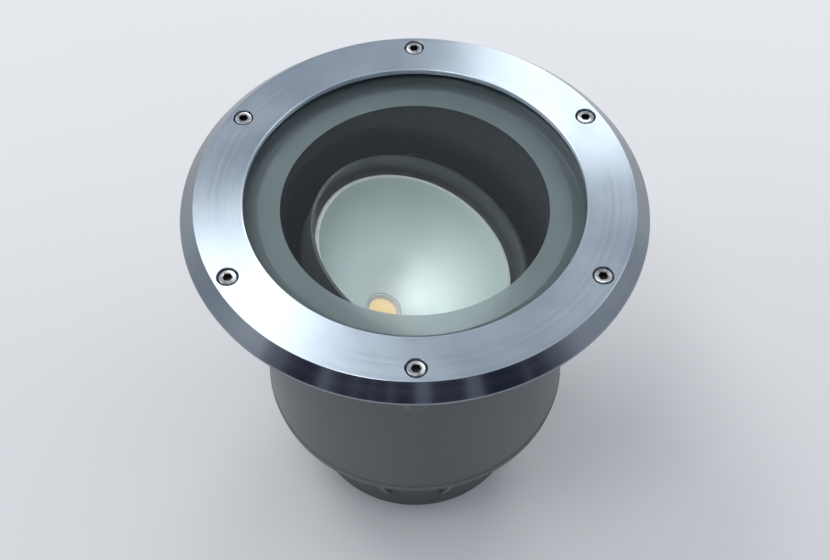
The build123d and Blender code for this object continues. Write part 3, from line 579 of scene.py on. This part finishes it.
def make_clear_glass():
    """Faintly green glass with a trace of smear on it."""
    glass = Finish("clear_glass", (0.955, 0.985, 0.975), 0.0)
    glass.shader.inputs["Transmission Weight"].default_value = 1.0
    glass.shader.inputs["IOR"].default_value = 1.5
    smear = glass.noise(22.0, 3.0)
    glass.set_rough(glass.spread(smear, 0.0, 0.035, 0.45, 0.75))
    glass.bump(glass.noise(9.0, 1.0), 0.02 * MM, 0.3)
    let_lamps_through(glass, (0.92, 0.96, 0.95))
    return glass.material


def make_cover_glass():
    """The disc with its ground edges."""
    radius, edge = glass_high.x, GLASS_EDGE
    outline = [
        (radius - edge, glass_high.z),
        (radius, glass_high.z - edge),
        (radius, glass_low.z + edge),
        (radius - edge, glass_low.z),
    ]
    glass = turn_piece("cover_glass_ground", outline, hollow=False)
    bpy.ops.object.shade_smooth_by_angle(angle=math.radians(30))
    return glass


clear_glass = make_clear_glass()
finish_piece(make_cover_glass(), clear_glass, "cover_glass")

# %% [markdown]
# ## Frosted band
#
# The rim of the glass is printed with a grey green frost on its underside, which hides
# the seat. It isn't opaque: where the bright reflector lies behind it, a milky image
# comes through. Rough transmission gives that, mixed with a matt shader for the print.

# %% Frosted band
BAND_INSIDE = 78.0 * MM
BAND_GAP = 0.05 * MM
PRINT_COVER = 0.36


def make_frosted_glass():
    """Rough glass mixed with the print, which lamps shine through in part."""
    frost = Finish("frosted_glass", (0.98, 0.95, 0.95), 0.45)
    frost.shader.inputs["Transmission Weight"].default_value = 1.0
    frost.shader.inputs["IOR"].default_value = 1.35
    print_coat = frost.node("ShaderNodeBsdfPrincipled")
    cloud = frost.noise(60.0, 4.0)
    print_colour = frost.colours(cloud, (0.128, 0.170, 0.189), (0.157, 0.200, 0.219))
    frost.link(print_colour, print_coat.inputs["Base Color"])
    print_coat.inputs["Roughness"].default_value = 0.65
    mix = frost.node("ShaderNodeMixShader")
    mix.inputs["Fac"].default_value = PRINT_COVER
    frost.link(frost.shader.outputs["BSDF"], mix.inputs[1])
    frost.link(print_coat.outputs["BSDF"], mix.inputs[2])
    let_lamps_through(frost, (0.8, 0.82, 0.82), mix.outputs["Shader"])
    frost.bump(frost.noise(1500.0, 2.0), 0.01 * MM, 0.5)
    return frost.material


def make_frosted_band():
    """A flat ring that leaves a hair of air under the glass."""
    outline = [
        (BAND_INSIDE, band_low.z),
        (BAND_INSIDE, band_high.z - BAND_GAP),
        (band_high.x, band_high.z - BAND_GAP),
        (band_high.x, band_low.z),
    ]
    return turn_piece("frosted_band_printed", outline)


frosted_glass = make_frosted_glass()
finish_piece(make_frosted_band(), frosted_glass, "frosted_band")

# %% [markdown]
# ## Rubber, silicone and nylon
#
# The dark soft parts differ by their sheen: silicone is slick, moulded rubber is dull
# with a fine skin, and nylon is in between with a grain from the mould.

# %% Dark soft finishes
def make_dark_finish(name, colour, rough, grain, depth):
    """A dark soft finish with clouds and a fine skin."""
    dark = Finish(name, colour, rough)
    cloud = dark.noise(120.0, 4.0)
    darker = tuple(c * 0.7 for c in colour)
    lighter = tuple(min(1.0, c * 1.45) for c in colour)
    dark.set_colour(dark.colours(cloud, darker, lighter))
    dark.set_rough(dark.spread(cloud, rough - 0.08, rough + 0.1))
    dark.bump(dark.noise(grain, 2.0), depth, 0.6)
    return dark.material


black_silicone = make_dark_finish("black_silicone", (0.018, 0.018, 0.019), 0.35, 600.0, 0.02 * MM)
silicone_rubber = make_dark_finish("silicone_rubber", (0.028, 0.028, 0.03), 0.6, 900.0, 0.03 * MM)
gland_plastic = make_dark_finish("gland_plastic", (0.05, 0.051, 0.054), 0.45, 1400.0, 0.03 * MM)
washer_nylon = make_dark_finish("washer_nylon", (0.03, 0.03, 0.032), 0.5, 1400.0, 0.02 * MM)
black_plastic = make_dark_finish("black_plastic", (0.018, 0.023, 0.029), 0.5, 1100.0, 0.03 * MM)

for node, material, slot in (
    ("screw_washers", washer_nylon, "washer_nylon"),
    ("glass_bond", black_silicone, "black_silicone"),
    ("seat_seal", silicone_rubber, "silicone_rubber"),
    ("base_seal", silicone_rubber, "silicone_rubber"),
    ("pivot_washers", washer_nylon, "washer_nylon"),
):
    finish_piece(from_frame(node, 0.1 * MM), material, node)

# %% [markdown]
# ## Glare shroud
#
# A black tube that hides the inside of the can. It opens to a funnel under the glass, so
# that the tilted head can be seen past the frosted band. It is moulded, so its edges are
# round, and light that grazes it shows a satin sheen. Its outline is turned like the rest.

# %% Glare shroud
SHROUD_INSIDE = 82.0 * MM
SHROUD_WALL = 1.2 * MM
SHROUD_FLANGE = 1.5 * MM
FUNNEL_OUTSIDE = 91.0 * MM
FUNNEL_DEPTH = 17.0 * MM


def make_glare_shroud():
    """The tube, its funnel and the flange that it hangs by."""
    top, underside = shroud_high.z, shroud_high.z - SHROUD_FLANGE
    outline = [
        (SHROUD_INSIDE, shroud_low.z),
        (SHROUD_INSIDE, top - FUNNEL_DEPTH),
        (FUNNEL_OUTSIDE - SHROUD_WALL, top),
        (shroud_high.x, top),
        (shroud_high.x, underside),
        (FUNNEL_OUTSIDE, underside),
        (SHROUD_INSIDE + SHROUD_WALL, underside - FUNNEL_DEPTH),
        (SHROUD_INSIDE + SHROUD_WALL, shroud_low.z),
    ]
    return soften(turn_piece("glare_shroud_moulded", outline), 0.4 * MM, 3, angle=20)


finish_piece(make_glare_shroud(), black_plastic, "glare_shroud")

# %% [markdown]
# ## Lamp head
#
# A die cast cup, painted dark grey. Its collar stands above the reflector and keeps
# stray light in. The casting is taken over from the frame, because its trunnions and
# bores are cut there already, and the bevel gives it the radii that a casting needs.

# %% Lamp head
def make_black_casting():
    """Dark grey paint on a casting."""
    paint = Finish("black_casting", (0.060, 0.070, 0.075), 0.42)
    cloud = paint.noise(90.0, 4.0)
    paint.set_colour(paint.colours(cloud, (0.050, 0.060, 0.065), (0.072, 0.082, 0.088)))
    paint.set_rough(paint.spread(cloud, 0.34, 0.52))
    paint.bump(paint.noise(700.0, 3.0), 0.04 * MM, 0.5)
    return paint.material


black_casting = make_black_casting()
finish_piece(from_frame("lamp_head", 0.5 * MM), black_casting, "lamp_head")

# %% [markdown]
# ## Reflector
#
# A spun aluminium bowl with a parabola for its outline, anodised matt so that the beam
# has soft edges, and with a rolled rim. Its colour holds painted light: a painted glow towards
# the throat and a painted highlight on the rim. The parabola is written as a formula.
# The bowl is turned upright and then leaned over on the head's tilt axis.

# %% Reflector
BOWL_RADIUS = 61.0 * MM
BOWL_DEPTH = 58.0 * MM
BOWL_THROAT = 12.0 * MM
BOWL_WALL = 1.2 * MM
RIM_WIDTH = 2.5 * MM
RIM_THICKNESS = 1.5 * MM
BOWL_POINTS = 28


def bowl_outline(extra):
    """Points up the parabola from throat to rim, moved outwards by extra."""
    throat, rim = BOWL_THROAT, BOWL_RADIUS
    points = []
    for n in range(BOWL_POINTS + 1):
        radius = throat + (rim - throat) * n / BOWL_POINTS
        height = -BOWL_DEPTH * (rim**2 - radius**2) / (rim**2 - throat**2)
        points.append((radius + extra, height))
    return points


def make_reflector():
    """The bowl with its rim rolled in a half circle, leaned over with the head."""
    inside = bowl_outline(0)
    outside = [p for p in reversed(bowl_outline(BOWL_WALL)) if p[1] < -RIM_THICKNESS]
    roll = RIM_WIDTH - RIM_THICKNESS / 2
    half = RIM_THICKNESS / 2
    rim = [
        (BOWL_RADIUS + roll, 0),
        (BOWL_RADIUS + roll + half * 0.71, -half * 0.29),
        (BOWL_RADIUS + roll + half, -half),
        (BOWL_RADIUS + roll + half * 0.71, -half * 1.71),
        (BOWL_RADIUS + roll, -RIM_THICKNESS),
    ]
    bowl = turn_piece("reflector_spun", inside + rim + outside)
    bpy.ops.object.shade_smooth_by_angle(angle=math.radians(40))
    return place(bowl, move=(0, 0, tilt_height), turn=(0, TILT, 0))


def make_reflector_metal():
    """Satin anodised aluminium, greener towards the polished rim; painted glow: brighter at the throat,
    darker out to the rim; painted highlight on the rim.
    """
    satin = Finish("reflector_metal", (0.80, 0.87, 0.85), 0.5, metal=0.4)
    radius = satin.radius(satin.leaned())[0]
    cloud = satin.noise(35.0, 4.0)
    painted_glow_fac = satin.math("ADD", satin.math("DIVIDE", radius, BOWL_RADIUS), satin.math("MULTIPLY", cloud, 0.12))
    # Painted glow: the colour is brighter towards the throat and darker out to the rim.
    ramp = satin.node("ShaderNodeValToRGB")
    stops = ramp.color_ramp.elements
    stops[0].position, stops[0].color = 0.32, (0.95, 0.98, 0.99, 1)
    stops[1].position, stops[1].color = 1.045, (0.62, 0.70, 0.68, 1)
    middle = stops.new(0.62)
    middle.color = (0.92, 0.985, 0.985, 1)
    satin.link(painted_glow_fac, ramp.inputs["Fac"])
    # Painted highlight: the rolled rim is near white and mostly not metallic, so it shows bright whatever
    # it mirrors; part of that is the polished rim's own brightness.
    on_rim = satin.spread(radius, 0.0, 1.0, BOWL_RADIUS - 0.1 * MM, BOWL_RADIUS + 0.1 * MM)
    rim = satin.node("ShaderNodeMix", data_type="RGBA")
    rim.inputs["B"].default_value = (0.98, 0.98, 0.98, 1)
    satin.link(on_rim, rim.inputs["Factor"])
    satin.link(ramp.outputs["Color"], rim.inputs["A"])
    satin.set_colour(rim.outputs["Result"])
    satin.link(satin.spread(on_rim, 0.4, 0.1, 0.0, 1.0), satin.shader.inputs["Metallic"])
    rim_gloss = satin.math("MULTIPLY", on_rim, 0.25)
    satin.set_rough(satin.math("SUBTRACT", satin.spread(cloud, 0.46, 0.56), rim_gloss))
    satin.bump(satin.noise(900.0, 2.0), 0.05 * MM, 0.35)
    return satin.material


reflector_metal = make_reflector_metal()
finish_piece(make_reflector(), reflector_metal, "reflector")

# %% [markdown]
# ## Lamp
#
# A chip on board lamp: a white ceramic plate with a round field of yellow phosphor under
# clear gel, held by a white ring. The phosphor is domed slightly by the gel's surface. It
# glows a little, because it is brighter in the photograph than the lamps here make it.

# %% Lamp pieces
PHOSPHOR_GLOW = 0.4


def make_phosphor_gel():
    """Grainy yellow phosphor under a glossy coat, with a weak glow."""
    gel = Finish("phosphor_gel", (0.95, 0.70, 0.36), 0.22)
    grain = gel.noise(900.0, 3.0)
    gel.set_colour(gel.colours(grain, (0.94, 0.68, 0.36), (0.99, 0.82, 0.52)))
    gel.set_rough(gel.spread(grain, 0.15, 0.3))
    gel.shader.inputs["Coat Weight"].default_value = 0.6
    gel.shader.inputs["Emission Color"].default_value = (1.0, 0.68, 0.36, 1)
    gel.shader.inputs["Emission Strength"].default_value = PHOSPHOR_GLOW
    gel.bump(grain, 0.03 * MM, 0.3)
    return gel.material


def make_pale_finish(name, colour, rough):
    """A pale moulded or fired finish with a fine skin."""
    pale = Finish(name, colour, rough)
    cloud = pale.noise(140.0, 4.0)
    darker = tuple(c * 0.93 for c in colour)
    pale.set_colour(pale.colours(cloud, darker, colour))
    pale.set_rough(pale.spread(cloud, rough - 0.06, rough + 0.08))
    pale.bump(pale.noise(1500.0, 2.0), 0.02 * MM, 0.5)
    return pale.material


PHOSPHOR_RADIUS = 9.2 * MM
PHOSPHOR_FOOT = -60.8 * MM
PHOSPHOR_RISE = 0.6 * MM
DOME_STEPS = 6


def make_phosphor():
    """A low dome on the axis of the head, leaned over with it."""
    outline = [(PHOSPHOR_RADIUS, PHOSPHOR_FOOT)]
    for step in range(1, DOME_STEPS):
        angle = math.radians(90 * step / DOME_STEPS)
        height = PHOSPHOR_FOOT + PHOSPHOR_RISE * math.sin(angle)
        outline.append((PHOSPHOR_RADIUS * math.cos(angle), height))
    field = turn_piece("phosphor_domed", outline, hollow=False, steps=FINE_STEPS)
    bpy.ops.object.shade_smooth_by_angle(angle=math.radians(60))
    return place(field, move=(0, 0, tilt_height), turn=(0, TILT, 0))


phosphor_gel = make_phosphor_gel()
chip_ceramic = make_pale_finish("chip_ceramic", (0.84, 0.85, 0.84), 0.35)
white_plastic = make_pale_finish("white_plastic", (0.80, 0.80, 0.78), 0.4)
driver_case = make_pale_finish("driver_case", (0.66, 0.67, 0.66), 0.45)
finish_piece(make_phosphor(), phosphor_gel, "phosphor")
finish_piece(from_frame("chip_board", 0.1 * MM), chip_ceramic, "chip_board")
finish_piece(from_frame("chip_holder", 0.3 * MM), white_plastic, "chip_holder")

# %% [markdown]
# ## Bare and plated metal inside the can
#
# The heat sink is bare cast aluminium with a sandy skin. Yoke, shelf, clips and tray are
# zinc plated sheet, whose crystals show as faint patches, so a cell pattern tints it.
# The yoke and its pivot screws stand in the beam's way, so their zinc is passivated black.

# %% Inner metals
def make_sink_aluminium():
    """Bare aluminium with the skin of a sand casting."""
    cast = Finish("sink_aluminium", (0.60, 0.61, 0.62), 0.45, metal=1.0)
    sand = cast.noise(500.0, 3.0)
    cast.set_colour(cast.colours(sand, (0.50, 0.51, 0.53), (0.68, 0.69, 0.70)))
    cast.set_rough(cast.spread(sand, 0.38, 0.58))
    cast.bump(sand, 0.06 * MM, 0.6)
    return cast.material


def make_zinc_steel(name, dark, light):
    """Zinc plate whose crystals differ in tone and gloss."""
    zinc = Finish(name, light, 0.38, metal=1.0)
    split = zinc.node("ShaderNodeSeparateColor")
    zinc.link(zinc.cells(160.0), split.inputs["Color"])
    patch = split.outputs["Red"]
    zinc.set_colour(zinc.colours(patch, dark, light, 0.1, 0.9))
    zinc.set_rough(zinc.spread(patch, 0.30, 0.48, 0.0, 1.0))
    zinc.bump(zinc.noise(800.0, 2.0), 0.01 * MM, 0.4)
    return zinc.material


def make_brass():
    """Plain brass with soft clouds."""
    brass = Finish("brass_metal", (0.72, 0.56, 0.25), 0.32, metal=1.0)
    cloud = brass.noise(300.0, 3.0)
    brass.set_colour(brass.colours(cloud, (0.60, 0.44, 0.17), (0.78, 0.62, 0.30)))
    brass.set_rough(brass.spread(cloud, 0.25, 0.45))
    brass.bump(brass.noise(1500.0, 2.0), 0.01 * MM, 0.4)
    return brass.material


def make_machined_steel():
    """Turned steel with fine rings from the tool."""
    turned = Finish("machined_steel", (0.38, 0.39, 0.41), 0.34, metal=1.0)
    fine = turned.rings(1800.0, wander=0.001)
    turned.set_colour(turned.colours(fine, (0.31, 0.32, 0.34), (0.43, 0.44, 0.46), 0.4, 0.6))
    turned.set_rough(turned.spread(fine, 0.28, 0.44, 0.4, 0.6))
    turned.bump(fine, 0.015 * MM, 0.5)
    return turned.material


sink_aluminium = make_sink_aluminium()
zinc_steel = make_zinc_steel("zinc_steel", (0.46, 0.48, 0.51), (0.60, 0.62, 0.63))
black_zinc = make_zinc_steel("black_zinc", (0.050, 0.054, 0.058), (0.080, 0.084, 0.088))
brass_metal = make_brass()
machined_steel = make_machined_steel()

# %% [markdown]
# ## Powder coated can
#
# The can is welded steel with a dark grey powder coat. The coat flows into a fine
# orange peel, which is a shallow bump a millimetre or so wide, with a fine speckle.
# Over a weld the coat follows the bead's ripples, one for each drop the torch laid
# down, so the same finish can be made with a ripple that counts along the angle.

# %% Powder coat
def make_powder_coat(name, ripples=0, upright=False):
    """Powder coat, with weld ripples: a number round the axis, or a number up each metre."""
    coat = Finish(name, (0.10, 0.105, 0.11), 0.5)
    cloud = coat.noise(14.0, 2.0)
    speck = coat.noise(1100.0, 2.0)
    tone = coat.math("ADD", coat.math("MULTIPLY", cloud, 0.35), coat.math("MULTIPLY", speck, 0.65))
    coat.set_colour(coat.colours(tone, (0.086, 0.092, 0.099), (0.112, 0.118, 0.126), 0.36, 0.64))
    coat.set_rough(coat.spread(tone, 0.34, 0.46, 0.36, 0.64))
    coat.bump(coat.noise(900.0, 2.0), 0.06 * MM, 0.5)
    coat.bump(coat.noise(60.0, 2.0), 0.15 * MM, 0.25)
    if ripples:
        split = coat.node("ShaderNodeSeparateXYZ")
        coat.link(coat.where, split.inputs["Vector"])
        along, step = split.outputs["Z"], ripples
        if not upright:
            along, step = coat.math("ARCTAN2", split.outputs["Y"], split.outputs["X"]), ripples / math.tau
        drift = coat.math("MULTIPLY", coat.noise(40.0, 2.0), 1.5)
        drops = coat.math("ADD", coat.math("MULTIPLY", along, step), drift)
        wave = coat.math("POWER", coat.math("FRACT", drops), 2.0)
        coat.bump(wave, 0.5 * MM, 0.9)
    return coat.material


powder_coat = make_powder_coat("dark_coated_steel")
weld_coat = make_powder_coat("coated_weld", ripples=260)
seam_coat = make_powder_coat("coated_seam", ripples=450, upright=True)

# %% [markdown]
# ## Weld beads
#
# Three round seams hold the can together: under the flange, at the can's floor and over
# the bay. The solids meet there without a bead, so each seam gets its own turned fillet.
# It stands on both plates and goes a hair into them, so that no gap shows. The can is a
# rolled tube, so one more seam runs down it, between two of the screws' bosses.

# %% Turn the weld beads
can_low, can_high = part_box("can_wall")
floor_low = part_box("can_floor")[0]
flange_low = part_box("seat_flange")[0]
BAY_RADIUS = 72.0 * MM
SINK_IN = 0.1 * MM
SEAM_ANGLE = math.radians(120)
SEAM_CROWN = 0.9 * MM


def make_fillet_bead(name, radius, height, leg):
    """A slightly hollow fillet under a plate at a height, on a wall of a radius."""
    outline = [
        (radius - SINK_IN, height + SINK_IN),
        (radius + leg, height + SINK_IN),
        (radius + leg, height - 0.15 * leg),
        (radius + 0.62 * leg, height - 0.4 * leg),
        (radius + 0.4 * leg, height - 0.62 * leg),
        (radius + 0.15 * leg, height - leg),
        (radius - SINK_IN, height - leg),
    ]
    return soften(turn_piece(name, outline), 0.3 * MM, angle=20)


def make_flat_bead(name, radius, height, half):
    """A low crown over a flush seam."""
    outline = [
        (radius - SINK_IN, height - half),
        (radius + 0.4 * MM, height - 0.6 * half),
        (radius + 0.7 * MM, height),
        (radius + 0.4 * MM, height + 0.6 * half),
        (radius - SINK_IN, height + half),
    ]
    bead = turn_piece(name, outline)
    bpy.ops.object.shade_smooth_by_angle(angle=math.radians(60))
    return bead


def make_long_seam(name, radius, bottom, top, half):
    """The seam down a rolled tube, a low crown that is mostly sunk in the wall."""
    pick_only()
    middle = (bottom + top) / 2
    bpy.ops.mesh.primitive_cylinder_add(
        vertices=16, radius=half, depth=top - bottom, location=(0, 0, middle))
    seam = bpy.context.object
    seam.name = name
    bpy.ops.object.transform_apply()
    bpy.ops.object.mode_set(mode="EDIT")
    bpy.ops.mesh.select_all(action="SELECT")
    bpy.ops.transform.resize(value=(SEAM_CROWN / half, 1, 1), center_override=(0, 0, 0))
    bpy.ops.object.mode_set(mode="OBJECT")
    soften(seam, 0.3 * MM, angle=50)
    spot = (radius * math.cos(SEAM_ANGLE), radius * math.sin(SEAM_ANGLE), 0)
    return place(seam, move=spot, turn=(0, 0, SEAM_ANGLE))


welds = [
    make_long_seam("weld_down_can", can_high.x, can_low.z + 2.5 * MM, can_high.z - 3.5 * MM, 3.0 * MM),
    make_fillet_bead("weld_under_flange", can_high.x, flange_low.z, 3.5 * MM),
    make_flat_bead("weld_at_floor", can_high.x, can_low.z, 2.5 * MM),
    make_fillet_bead("weld_over_bay", BAY_RADIUS, floor_low.z, 4.0 * MM),
]
for weld in welds:
    coat = seam_coat if weld.name == "weld_down_can" else weld_coat
    weld.data.materials.append(coat)
    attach(weld, "housing")
print("welds:", [weld.name for weld in welds])

# %% [markdown]
# ## Pieces taken over from the frame
#
# These are right in shape already. Each is copied, merged and given softened edges of
# its real kind: wide on castings and welded plate, narrow on pressings and screws.

# %% Take over the remaining nodes
for node, edge, material, slot in (
    ("seat_flange", 0.4, machined_steel, "machined_steel"),
    ("screw_bosses", 0.6, powder_coat, "dark_coated_steel"),
    ("can_wall", 0.4, powder_coat, "dark_coated_steel"),
    ("can_floor", 0.6, powder_coat, "dark_coated_steel"),
    ("bay_wall", 0.6, powder_coat, "dark_coated_steel"),
    ("gussets", 0.5, powder_coat, "dark_coated_steel"),
    ("base_cover", 0.5, powder_coat, "dark_coated_steel"),
    ("base_screws", 0.15, screw_steel, "screw_steel"),
    ("shelf_posts", 0.3, zinc_steel, "zinc_steel"),
    ("yoke_shelf", 0.3, zinc_steel, "zinc_steel"),
    ("shelf_clips", 0.3, zinc_steel, "zinc_steel"),
    ("shelf_screws", 0.15, screw_steel, "screw_steel"),
    ("yoke", 0.3, black_zinc, "zinc_steel"),
    ("pivot_screws", 0.2, black_zinc, "screw_steel"),
    ("heat_sink", 0.3, sink_aluminium, "sink_aluminium"),
    ("sink_screws", 0.15, screw_steel, "screw_steel"),
    ("holder_screws", 0.15, screw_steel, "screw_steel"),
    ("gear_tray", 0.3, zinc_steel, "zinc_steel"),
    ("tray_screws", 0.15, screw_steel, "screw_steel"),
    ("driver", 0.8, driver_case, "driver_case"),
    ("driver_screws", 0.15, screw_steel, "screw_steel"),
    ("terminal_block", 0.4, white_plastic, "white_plastic"),
    ("terminal_screws", 0.15, brass_metal, "brass_metal"),
    ("earth_post", 0.15, brass_metal, "brass_metal"),
    ("gland_bodies", 0.4, gland_plastic, "gland_plastic"),
    ("gland_nuts", 0.4, gland_plastic, "gland_plastic"),
    ("gland_seals", 0.3, silicone_rubber, "silicone_rubber"),
    ("gland_locknuts", 0.4, gland_plastic, "gland_plastic"),
    ("vent_plug", 0.3, gland_plastic, "gland_plastic"),
):
    finish_piece(from_frame(node, edge * MM), material, node)

# %% [markdown]
# ## Floor, light and world
#
# The light stands on a plain pale floor under soft lamps. The key lamp, high behind on the
# left, and the back lamp, low behind on the right, draw the brushed ring's two bright fans
# together. A fill lamp high in front on the left adds soft light. The world is white for
# the camera, pale for mirrors, dim where the glass mirrors it, and dark with a few streaks
# low in front, so that the front of the bevel goes dark as it does in the photograph.

# %% Floor
FLOOR_FADE_START = 0.35
FLOOR_FADE_END = 2.2
FLOOR_SIZE = 60.0

pick_only()
bpy.ops.mesh.primitive_plane_add(size=FLOOR_SIZE, location=(0, 0, base_low.z))
floor = bpy.context.object
floor.name = "floor"


def make_floor_paint():
    """Pale paint that fades to the white background far away, for rays that look at it."""
    paint = Finish("floor_paint", (0.80, 0.80, 0.80), 0.7)
    far = paint.spread(paint.radius()[0], 0.0, 1.0, FLOOR_FADE_START, FLOOR_FADE_END)
    path = paint.node("ShaderNodeLightPath")
    looked_at = path.outputs["Is Camera Ray"]
    for kind in ("Is Glossy Ray", "Is Transmission Ray"):
        looked_at = paint.math("MAXIMUM", looked_at, path.outputs[kind])
    white = paint.node("ShaderNodeEmission")
    mix = paint.node("ShaderNodeMixShader")
    paint.link(paint.math("MULTIPLY", far, looked_at), mix.inputs["Fac"])
    paint.link(paint.shader.outputs["BSDF"], mix.inputs[1])
    paint.link(white.outputs["Emission"], mix.inputs[2])
    paint.link(mix.outputs["Shader"], paint.output.inputs["Surface"])
    return paint.material


floor.data.materials.append(make_floor_paint())


# %% Lamps
def add_lamp(name, azimuth, elevation, distance, size, power):
    """A square soft lamp that looks at the light from an azimuth and elevation in degrees."""
    a, e = math.radians(azimuth), math.radians(elevation)
    lamp = bpy.data.lights.new(name, "AREA")
    lamp.energy = power
    lamp.size = size
    holder = bpy.data.objects.new(name, lamp)
    bpy.context.scene.collection.objects.link(holder)
    out = distance * math.cos(e)
    holder.location = (out * math.cos(a), out * math.sin(a), distance * math.sin(e))
    holder.rotation_euler = (-holder.location).to_track_quat("-Z", "Y").to_euler()
    return holder


add_lamp("key_lamp", 141, 58, 1.8, 0.8, 8.4)
add_lamp("back_lamp", 69, 27, 1.8, 0.8, 6.6)
add_lamp("fill_lamp", 228, 68, 1.8, 0.5, 4.0)
add_lamp("right_lamp", 10, 35, 2.0, 0.8, 2.0)
add_lamp("left_lamp", 195, 30, 2.0, 0.8, 1.0)


# %% World
PALE_SKY = (0.66, 0.70, 0.76, 1)
DIM_SKY = (0.26, 0.28, 0.31, 1)
DARK_FRONT = (0.035, 0.04, 0.075, 1)
STREAK = (0.30, 0.31, 0.38, 1)
MIRRORED_SKY = (0.0, 0.625, 0.78)  # where the glass mirrors the camera's line of sight
DIM_SKY_SPREAD = (0.80, 0.98)
STREAK_SPREAD = (0.50, 0.68)
FRONT_SPREAD = (-0.25, -0.6)
LOW_SPREAD = (0.80, 0.64)


def make_world():
    """Pale all round, dim where the glass mirrors it, dark with streaks in front."""
    world = bpy.data.worlds.new("studio")
    bpy.context.scene.world = world
    world.use_nodes = True
    tree = world.node_tree

    def smooth(value, start, end):
        """A soft step from 0 at start to 1 at end."""
        step = tree.nodes.new("ShaderNodeMapRange")
        step.interpolation_type = "SMOOTHSTEP"
        step.inputs["From Min"].default_value = start
        step.inputs["From Max"].default_value = end
        tree.links.new(value, step.inputs["Value"])
        return step.outputs["Result"]

    def blend(factor, first, second):
        """Two colours or outputs, mixed by a factor."""
        mix = tree.nodes.new("ShaderNodeMix")
        mix.data_type = "RGBA"
        tree.links.new(factor, mix.inputs["Factor"])
        for socket, value in (("A", first), ("B", second)):
            if isinstance(value, tuple):
                mix.inputs[socket].default_value = value
            else:
                tree.links.new(value, mix.inputs[socket])
        return mix.outputs["Result"]

    where = tree.nodes.new("ShaderNodeTexCoord").outputs["Generated"]
    near = tree.nodes.new("ShaderNodeVectorMath")
    near.operation = "DOT_PRODUCT"
    near.inputs[1].default_value = MIRRORED_SKY
    tree.links.new(where, near.inputs[0])
    split = tree.nodes.new("ShaderNodeSeparateXYZ")
    tree.links.new(where, split.inputs["Vector"])
    sky = blend(smooth(near.outputs["Value"], *DIM_SKY_SPREAD), PALE_SKY, DIM_SKY)
    bearing = tree.nodes.new("ShaderNodeMath")
    bearing.operation = "ARCTAN2"
    tree.links.new(split.outputs["X"], bearing.inputs[0])
    tree.links.new(split.outputs["Y"], bearing.inputs[1])
    bands = tree.nodes.new("ShaderNodeTexNoise")
    bands.noise_dimensions = "1D"
    bands.inputs["Scale"].default_value = 5.0
    bands.inputs["Detail"].default_value = 2.0
    tree.links.new(bearing.outputs["Value"], bands.inputs["W"])
    front = blend(smooth(bands.outputs["Fac"], *STREAK_SPREAD), DARK_FRONT, STREAK)
    low_front = tree.nodes.new("ShaderNodeMath")
    low_front.operation = "MULTIPLY"
    tree.links.new(smooth(split.outputs["Y"], *FRONT_SPREAD), low_front.inputs[0])
    tree.links.new(smooth(split.outputs["Z"], *LOW_SPREAD), low_front.inputs[1])
    sky = blend(low_front.outputs["Value"], sky, front)
    path = tree.nodes.new("ShaderNodeLightPath")
    seen = blend(path.outputs["Is Camera Ray"], sky, (1, 1, 1, 1))
    tree.links.new(seen, tree.nodes["Background"].inputs["Color"])


make_world()

# %% [markdown]
# ## Camera
#
# A camera that was fitted to the photograph looks down at 51 degrees from about three
# quarters of a metre. That is an estimate: 50 to 54 degrees fit about as well. This camera
# stands there, and it is aimed lower with a longer lens, so that the whole light shows.

# %% Camera
from mathutils import Vector

VIEW_POINT = Vector((-2.3, -13.8, 0)) * MM
VIEW_ELEVATION = math.radians(51.3)
VIEW_DISTANCE = 738.9 * MM
AIM_POINT = Vector((0, -2, -72)) * MM
LENS = 56.0

camera = bpy.data.objects.new("camera", bpy.data.cameras.new("camera"))
bpy.context.scene.collection.objects.link(camera)
towards_camera = Vector((0, -math.cos(VIEW_ELEVATION), math.sin(VIEW_ELEVATION)))
camera.location = VIEW_POINT + VIEW_DISTANCE * towards_camera
camera.rotation_euler = (AIM_POINT - camera.location).to_track_quat("-Z", "Y").to_euler()
camera.data.lens = LENS
bpy.context.scene.camera = camera
bpy.context.scene.view_settings.view_transform = "Standard"
